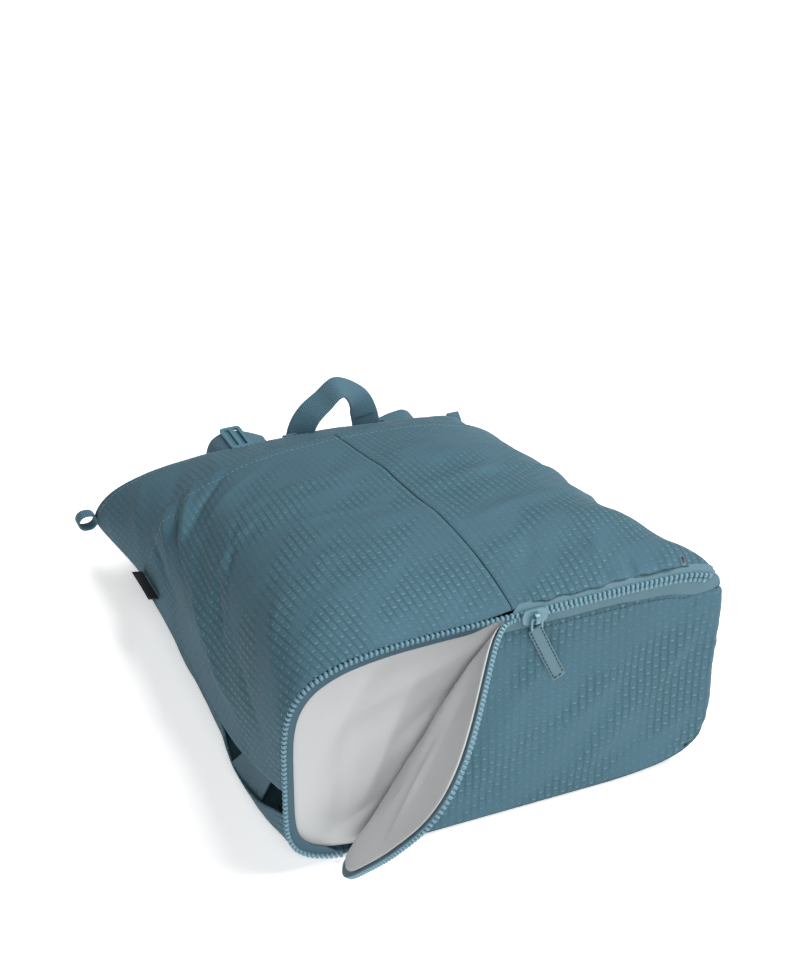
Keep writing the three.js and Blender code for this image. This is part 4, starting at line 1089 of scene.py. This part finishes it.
piece = tape_piece("tape_body_cloth", body_tape_outer, body_tape_inner, TAPE_LOW, TAPE_HIGH, on_bag,
                   "tape_body", BODY_TAPE_COLUMNS)
# The body tape past the slider takes the darker copy: painted shade where it lies on the open side.
piece.data.materials.append(TAPE_SHADED)
for face in piece.data.polygons:
    face.material_index = int(face.index // (BODY_TAPE_COLUMNS - 1) * TAPE_STEP > SLIDER_LENGTH)
tape_piece("tape_flap_cloth", flap_tape_outer, flap_tape_inner, 0.1, TAPE_HIGH - 0.1, fold_out,
           "tape_flap", FLAP_TAPE_COLUMNS)

TOOTH_PITCH = 3.3
TOOTH_LONG = 2.05
TOOTH_REACH = 2.9
TOOTH_LOW, TOOTH_HIGH = 0.95, 4.1
TOOTH_ROUND = 0.7
FIRST_TOOTH = 1.7


def rounded_block(size, bevel, segments=2):
    """A block with rounded edges about its middle: points and faces."""
    work = bmesh.new()
    bmesh.ops.create_cube(work, size=1.0)
    bmesh.ops.scale(work, vec=size, verts=work.verts)
    bmesh.ops.bevel(work, geom=list(work.edges), offset=bevel, segments=segments, profile=0.6, affect="EDGES")
    work.verts.index_update()
    points = np.array([v.co for v in work.verts])
    faces = [tuple(v.index for v in f.verts) for f in work.faces]
    work.free()
    return points, faces


def teeth_piece(name, inset, shift, place, node_name):
    block, faces = rounded_block((TOOTH_LONG, TOOTH_REACH, TOOTH_HIGH - TOOTH_LOW), TOOTH_ROUND)
    middle = (TOOTH_LOW + TOOTH_HIGH) / 2
    length = np.arange(shift, ZIP_TOTAL - 1.0, TOOTH_PITCH)
    turned = side_share(*rim_at(length))
    length = length[(turned < 0.04) | (turned > 0.96)]
    at = on_zip(length, inset, middle, place)
    way = unit(on_zip(length + 0.5, inset, middle, place) - on_zip(length - 0.5, inset, middle, place))
    out = unit(on_zip(length, inset, middle + 0.5, place) - at)
    inward = unit(np.cross(out, way))
    out = unit(np.cross(way, inward))
    parts = [
        (at[i] + block[:, :1] * way[i] + block[:, 1:2] * inward[i] + block[:, 2:] * out[i], faces)
        for i in range(len(length))
    ]
    make_piece(name, *join(parts), TEETH, "zip_teeth", node_name)


teeth_piece("teeth_body_row", BODY_TEETH + 0.3, FIRST_TOOTH, on_bag, "teeth_body")
teeth_piece("teeth_flap_row", FLAP_TEETH - 0.25, FIRST_TOOTH + TOOTH_PITCH / 2, fold_out, "teeth_flap")


# Handle, straps, loops and label

WEBBING_WIDTH = 25.0
WEBBING_THICK = 1.8


def top_edge(x):
    """Place of the top edge at a distance across, for what is sewn behind it."""
    top = SECTIONS[-1]
    half, square = side_of(top, x)
    share = np.clip(np.abs(x) / half, 0, 1)
    rise = (top["crown"] - top["seam"]) * (1 - share ** square) ** (1 / square)
    return top_along(share), top["seam"] + rise + twist(x, BAG_LENGTH)


def band_piece(name, points, width_way, node_name, width=WEBBING_WIDTH, thick=WEBBING_THICK, closed=False):
    """A webbing band along points, with its width along one direction. Gives its normals."""
    tangent = unit(np.gradient(points, axis=0))
    normals = unit(np.cross(tangent, np.asarray(width_way, float)))
    section = np.asarray(strap_section(width, thick))
    verts, faces = tube(points, normals, section, closed)
    cloth = stack(np.tile(section[:, 0], len(points)), np.repeat(run_lengths(points), len(section)))
    make_piece(name, verts, faces, WEBBING, "webbing", node_name, cloth=cloth)
    return normals


HANDLE = {"left": 1.0, "right": 56.0, "tilt": 0.28, "width": 22.5}

# The handle's way from foot to foot as (share, rise), and how far its band is turned as (share, degrees)
HANDLE_ROUTE = ((0, -20), (0, -1), (0.12, 13), (0.33, 23.5), (0.6, 34), (0.87, 22.5), (1, 4), (1, -18))
HANDLE_TURN = (
    (0, 10), (0.08, 30), (0.14, 52), (0.286, 70), (0.43, 84),
    (0.571, 94), (0.66, 124), (0.74, 160), (0.857, 177), (1, 180),
)
TURN_SOFTENED = 13


def handle_foot(x, edge_x, clear):
    y, z = top_edge(np.float64(edge_x))
    return np.array([x, y + clear, z])


left_foot = handle_foot(HANDLE["left"], HANDLE["left"] - WEBBING_WIDTH / 2, clear=1.3)
right_foot = handle_foot(HANDLE["right"], HANDLE["right"] + WEBBING_WIDTH / 2, clear=0.5)
route = [mix(left_foot, right_foot, share) + (0, 0, rise) for share, rise in HANDLE_ROUTE]
handle_way, shares = spline(route, 150)
turn = np.radians(np.interp(shares, *np.transpose(HANDLE_TURN)))
turn = np.pad(turn, TURN_SOFTENED // 2, mode="edge")
turn = np.convolve(turn, np.ones(TURN_SOFTENED) / TURN_SOFTENED, mode="valid")
handle_width = stack(-np.cos(turn), np.sin(turn), HANDLE["tilt"] * np.sin(turn))
handle_normals = band_piece("handle_web", handle_way, handle_width, "handle", HANDLE["width"])

# Zigzag stitches across the handle above its right foot
ZIGZAG = {"share": 0.83, "half": 9.5, "step": 1.3, "count": 15}
i = int(np.argmin(np.abs(shares - ZIGZAG["share"])))
across_way, along_way = unit(handle_width[i]), unit(handle_way[i + 1] - handle_way[i - 1])
front = handle_normals[i] * -np.sign(handle_normals[i][1])
zigzag = [
    handle_way[i] + across_way * s + along_way * ZIGZAG["step"] * (-1) ** (k + 1) + front * WEBBING_THICK / 2
    for k, s in enumerate(np.linspace(-ZIGZAG["half"], ZIGZAG["half"], ZIGZAG["count"]))
]
stitches("handle_stitches", [(zigzag, [front] * ZIGZAG["count"])], THREAD_DARK, "webbing", dash=2.3, gap=0.7)


HANDLE_TAB = (17.0, 2.2, 15.0)
TAB_BEHIND = 2.3
TAB_BELOW = 8.5


def tab_piece(name, x, foot, node_name):
    """A folded webbing tab sewn behind the handle's foot."""
    _, z = top_edge(np.float64(x))
    block, faces = rounded_block(HANDLE_TAB, 0.8, 3)
    points = block + (x, foot[1] + TAB_BEHIND, z - TAB_BELOW)
    make_piece(name, points, faces, WEBBING, "webbing", node_name, cloth=block[:, [0, 2]])


tab_piece("handle_tab_left_web", -4.0, left_foot, "handle_tab_left")
tab_piece("handle_tab_right_web", 64.0, right_foot, "handle_tab_right")

STRAP_Y = 371.7
STRAP_ROUTE = ((-21, 80), (-32, 85.5), (-42, 89), (-53, 89), (-61.5, 84), (-65, 73), (-62, 61), (-56, 50))
strap_way, _ = spline([(x, STRAP_Y, z) for x, z in STRAP_ROUTE], 70)
band_piece("strap_loop_web", strap_way, (0, 1, 0), "strap_loop")
STRAP_TAB_ROUTE = ((78, 377, 71), (90, 381, 70.6), (102, 386, 67.2), (109, 390, 59), (108, 391.5, 49))
strap_tab_way, _ = spline(STRAP_TAB_ROUTE, 50)
band_piece("strap_tab_right_web", strap_tab_way, (0, 1, 0), "strap_tab_right")

LOOP = {"wall": 1.2, "width": 10.0}


def loop_points(center, flat_way, length, height):
    """The middle line of a small webbing loop, as a rounded ring."""
    center, flat_way = np.asarray(center), np.asarray(flat_way)
    radius = (height - LOOP["wall"]) / 2
    straight = max(length - height, 0) / 2
    turn = np.linspace(0, 2 * pi, 49)[:, None]
    run = radius * np.sin(turn) + straight * np.sign(np.sin(turn)) * (np.abs(np.sin(turn)) > 1e-6)
    return center + run * flat_way + radius * np.cos(turn) * (0, 0, 1)


for node_name, center, flat_way, length, height, width_way in (
    ("corner_loop_left", (-158.0, 396, 32.5), (1, 0, 0), 15.0, 13.0, (0, 1, 0)),
    ("corner_loop_right", (148.6, 404.4, 45), (0, 0.8, 0.6), 13.0, 8.0, (1, 0, 0)),
):
    ring = loop_points(center, flat_way, length, height)
    band_piece(f"{node_name}_web", ring, width_way, node_name, LOOP["width"], LOOP["wall"], closed=True)

ANCHOR = {
    "start": 33.0, "end": 81.0, "slant": 22.0, "top": 145.0, "bottom": 148.8, "foot": 12.0, "drop": 36.0,
}
for side_name, sign in SIDES:
    s, t = np.meshgrid(np.linspace(0, 1, 26), np.linspace(0, 1, 22))
    along = mix(ANCHOR["start"], ANCHOR["end"], s)
    high = section_at(along)["seam"] - WALL - 2 * GAP
    bow = 0.8 * np.sin(pi * t) * np.sin(pi * s)
    out = sign * (mix(ANCHOR["top"], ANCHOR["bottom"], t) - bow)
    grid = stack(out, along + ANCHOR["slant"] * t, mix(high, ANCHOR["foot"], t))
    cloth = stack(s * (ANCHOR["end"] - ANCHOR["start"]), t * ANCHOR["drop"])
    node_name = f"strap_anchor_{side_name}"
    sheet_piece(f"{node_name}_web", grid, cloth, WEBBING, "webbing", node_name, thick=1.6, turned=sign > 0)

LABEL_SIZE = {
    "along": 270.0, "length": 37.0, "reach": 8.0, "thick": 1.2, "height": 48.0, "droop": radians(12),
}


def label_points():
    """A bare label folded in half, its two layers meeting in the side seam."""
    steps = np.linspace(0, 1, 40)
    half = section_at(LABEL_SIZE["along"])["half"] + 2 * GAP
    radius, reach, droop = LABEL_SIZE["thick"] / 2, LABEL_SIZE["reach"], LABEL_SIZE["droop"]
    layer = np.linspace(0, reach - radius, 8)
    ring = [(out, radius) for out in layer]
    for turn in np.linspace(pi / 2, -pi / 2, 8)[1:-1]:
        ring.append((reach - radius + radius * cos(turn), radius * sin(turn)))
    ring += [(out, -radius) for out in layer[::-1]]
    out, up = np.transpose(ring)
    t = steps[:, None]
    lift = up + 0.5 * np.sin(3.0 * t + 0.4) * (out / reach) ** 2
    along = LABEL_SIZE["along"] + (t - 0.5) * LABEL_SIZE["length"]
    height = LABEL_SIZE["height"] + out * sin(droop) + lift * cos(droop)
    verts = stack(-half - out * cos(droop), along, height)
    return verts, ring_faces(len(steps), len(ring)), stack(out, t * LABEL_SIZE["length"])


verts, faces, cloth = label_points()
make_piece("label_tab_cloth", verts, faces, LABEL, "label", "label_tab", cloth=cloth)


# Slider, link, pull and buckle

PIVOT = np.array([12.0, -9.0, 151.05])
FLAT_ANGLE = radians(3)
EDGE_ANGLE = radians(35)


def bevelled_copy(name, node_name, material, width, body=BAG, shift=(0, 0, 0)):
    """A copy of a hard solid with its edges rounded."""
    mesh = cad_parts[node_name].data.copy()
    work = bmesh.new()
    work.from_mesh(mesh)
    bmesh.ops.remove_doubles(work, verts=work.verts, dist=1e-6)
    bmesh.ops.dissolve_limit(work, angle_limit=FLAT_ANGLE, verts=work.verts, edges=work.edges)
    work.to_mesh(mesh)
    work.free()
    mesh.name = name
    mesh.materials.clear()
    mesh.materials.append(material)
    mesh.polygons.foreach_set("use_smooth", [True] * len(mesh.polygons))
    piece = add_object(name, mesh)
    piece.matrix_world = Matrix.Translation(Vector(shift) * MM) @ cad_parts[node_name].matrix_world
    round_edges = piece.modifiers.new("rounding", "BEVEL")
    round_edges.width = width * MM
    round_edges.segments = 3
    round_edges.limit_method = "ANGLE"
    round_edges.angle_limit = EDGE_ANGLE
    round_edges.use_clamp_overlap = True
    piece.modifiers.new("shading", "WEIGHTED_NORMAL").keep_sharp = True
    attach(piece, body)
    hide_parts(node_name)


bevelled_copy("zip_slider_body", "zip_slider", PAINT, 0.55)
bevelled_copy("pull_link_wire", "pull_link", PAINT, 0.5, PULL_BODY)
bevelled_copy("strap_buckle_frame", "strap_buckle", BUCKLE, 0.5, shift=(0, -5, 7.5))

PULL = {
    "lean": radians(24), "length": 45.0, "width": 9.5, "thick": 2.4, "drop": 9.78, "raised": 3.5, "bow": 0.5,
}
pull_down = np.array([sin(PULL["lean"]), 0, -cos(PULL["lean"])])
pull_side = np.array([cos(PULL["lean"]), 0, sin(PULL["lean"])])
pull_top = PIVOT - (0, 0, PULL["drop"]) - PULL["raised"] * pull_down
OUTWARD = np.array([0, -1.0, 0])
PULL_SEAM = {"side": 3.5, "start": 1.0, "end": 42.6, "half": 3.4}


def on_pull(side, run, lift):
    """Places on the pull's strip: across it, down it and out of its bowed middle."""
    bow = -PULL["bow"] * np.sin(pi * run / PULL["length"])
    side, run, height = (v[..., None] for v in spread(side, run, lift + bow))
    return pull_top + pull_down * run + pull_side * side + OUTWARD * height


def pull_tab_points():
    """A stitched strip, folded over the link, with rounded ends and pressed edges."""
    run = np.concatenate([[0, 0.25, 0.7, 1.4], np.linspace(2.2, 42.8, 46), [43.6, 44.3, 44.75, 45]])[:, None]
    ring = np.asarray(strap_section(PULL["width"], PULL["thick"], 5))
    side, up = ring.T
    near_end = np.minimum(run, PULL["length"] - run)
    narrow = 1 - 0.14 * np.maximum(0.0, 1 - near_end / 1.6) ** 2
    thin = 1 - 0.55 * np.maximum(0.0, 1 - near_end / 1.2) ** 2
    press = 0.2 * hump(np.abs(side), PULL_SEAM["side"], 0.55)
    press = press + 0.22 * hump(run, PULL_SEAM["end"], 0.6) * (np.abs(side) < 3.6)
    verts = on_pull(side * narrow, run, (up - np.sign(up) * press) * thin)
    return verts, ring_faces(len(run), len(ring)), stack(side, run)


verts, faces, cloth = pull_tab_points()
make_piece("pull_tab_strip", verts, faces, PULL_CLOTH, "pull_tab", "pull_tab", PULL_BODY, cloth)


# Seams and stitches

def grid_way(grid, row):
    return grid[row], grid_normals(grid)[row]


def pull_way(side, run):
    points = on_pull(*spread(side, run), PULL["thick"] / 2 - 0.12)
    return points, np.tile(OUTWARD, (len(points), 1))


pull_run = np.linspace(PULL_SEAM["start"], PULL_SEAM["end"], 40)
pull_ways = [pull_way(side * PULL_SEAM["side"], pull_run) for side in (-1, 1)]
pull_ways.append(pull_way(np.linspace(-PULL_SEAM["half"], PULL_SEAM["half"], 12), PULL_SEAM["end"]))
stitches("pull_stitches", pull_ways, THREAD_DARK, "pull_tab", PULL_BODY,
         dash=1.9, gap=1.3, thick=0.75, sink=0.12)
for name, ways in (
    ("hem_stitches", [grid_way(cover[side_name], -9) for side_name, _ in SIDES]),
    ("top_stitches", [grid_way(collar_points, -5)]),
):
    stitches(name, ways, THREAD, "shell", dash=2.1, gap=1.7, thick=0.42)
door_edge, door_normals = grid_way(base_points, -3)
sewn = (door_edge[:, 0] > 20) & (door_edge[:, 0] < 128)
door_way = door_edge[sewn], door_normals[sewn]
stitches("door_stitches", [door_way], THREAD_DARK, "shell", dash=2.0, gap=1.4, thick=0.4, sink=0.12)
TACK_X = 119.0
tack_column = int(np.argmin(np.abs(cover["right"][4, :, 0] - TACK_X)))
tack_way = cover["right"][3:10, tack_column], grid_normals(cover["right"])[3:10, tack_column]
stitches("bar_tack", [tack_way], TACK, "shell", dash=5.5, gap=9.0, thick=1.2, sink=0.2)


# Camera, floor and light

FOCAL_PX = 2200.27
FRAME_LONG_PX = 960
SENSOR = 36.0
LOOK_DOWN = 0.5368
LOOK_SIDE = 0.4096
CAMERA_AT = (-500.16, -981.44, 900.52)


def make_camera():
    data = bpy.data.cameras.new("camera")
    data.sensor_width = SENSOR
    data.lens = FOCAL_PX * SENSOR / FRAME_LONG_PX
    camera = add_object("camera", data)
    ahead = Vector((sin(LOOK_SIDE) * cos(LOOK_DOWN), cos(LOOK_SIDE) * cos(LOOK_DOWN), -sin(LOOK_DOWN)))
    right = Vector((cos(LOOK_SIDE), -sin(LOOK_SIDE), 0))
    up = right.cross(ahead)
    camera.matrix_world = Matrix((right, up, -ahead)).transposed().to_4x4()
    camera.location = to_part(CAMERA_AT)[0]
    bpy.context.scene.camera = camera


FLOOR_HALF = 8.0
FLOOR_DROP = 0.0005


def make_floor():
    material, g, shader = new_material(
        "floor", (0.93, 0.93, 0.93), 0.9,
        Specular_IOR_Level=0.1, Emission_Color=(1, 1, 1, 1), Emission_Strength=0.44)
    grain = g.node("TexNoise", {"Scale": 6.0, "Detail": 2.0}).outputs["Fac"]
    g.put(g.ramp(grain, [(0.3, (0.925,) * 3), (0.7, (0.935,) * 3)]), shader["Base Color"])
    mesh = bpy.data.meshes.new("floor")
    corners = ((-1, -1), (1, -1), (1, 1), (-1, 1))
    mesh.from_pydata([(x * FLOOR_HALF, y * FLOOR_HALF, -FLOOR_DROP) for x, y in corners], [], [(0, 1, 2, 3)])
    mesh.materials.append(material)
    add_object("floor", mesh)


def make_light(name, place, target, size, power):
    data = bpy.data.lights.new(name, "AREA")
    data.shape = "RECTANGLE"
    data.size, data.size_y = size
    data.energy = power
    light = add_object(name, data)
    light.location = place
    light.rotation_euler = (Vector(target) - Vector(place)).to_track_quat("-Z", "Y").to_euler()


LIGHT_FROM = (0.32, -0.55, 0.77)


def make_world():
    """A studio that is bright above and on the right, and dim on the left."""
    world = bpy.data.worlds.new("studio")
    world.use_nodes = True
    g = Graph(world.node_tree)
    way = g.node("TexCoord").outputs["Generated"]
    lit = g.node("VectorMath", {0: way, 1: LIGHT_FROM}, operation="DOT_PRODUCT").outputs["Value"]
    g.put(g.smooth_range(lit, (-0.75, 0.85), (0.03, 0.82)), g.tree.nodes["Background"].inputs["Strength"])
    bpy.context.scene.world = world


make_camera()
make_floor()
make_world()
make_light("key", (1.7, -0.3, 3.0), (0, 0.05, 0.05), (2.4, 2.4), 165)
make_light("fill", (-0.8, -2.2, 1.6), (0, 0, 0.06), (1.2, 1.0), 48)
bpy.context.scene.view_settings.view_transform = "Standard"
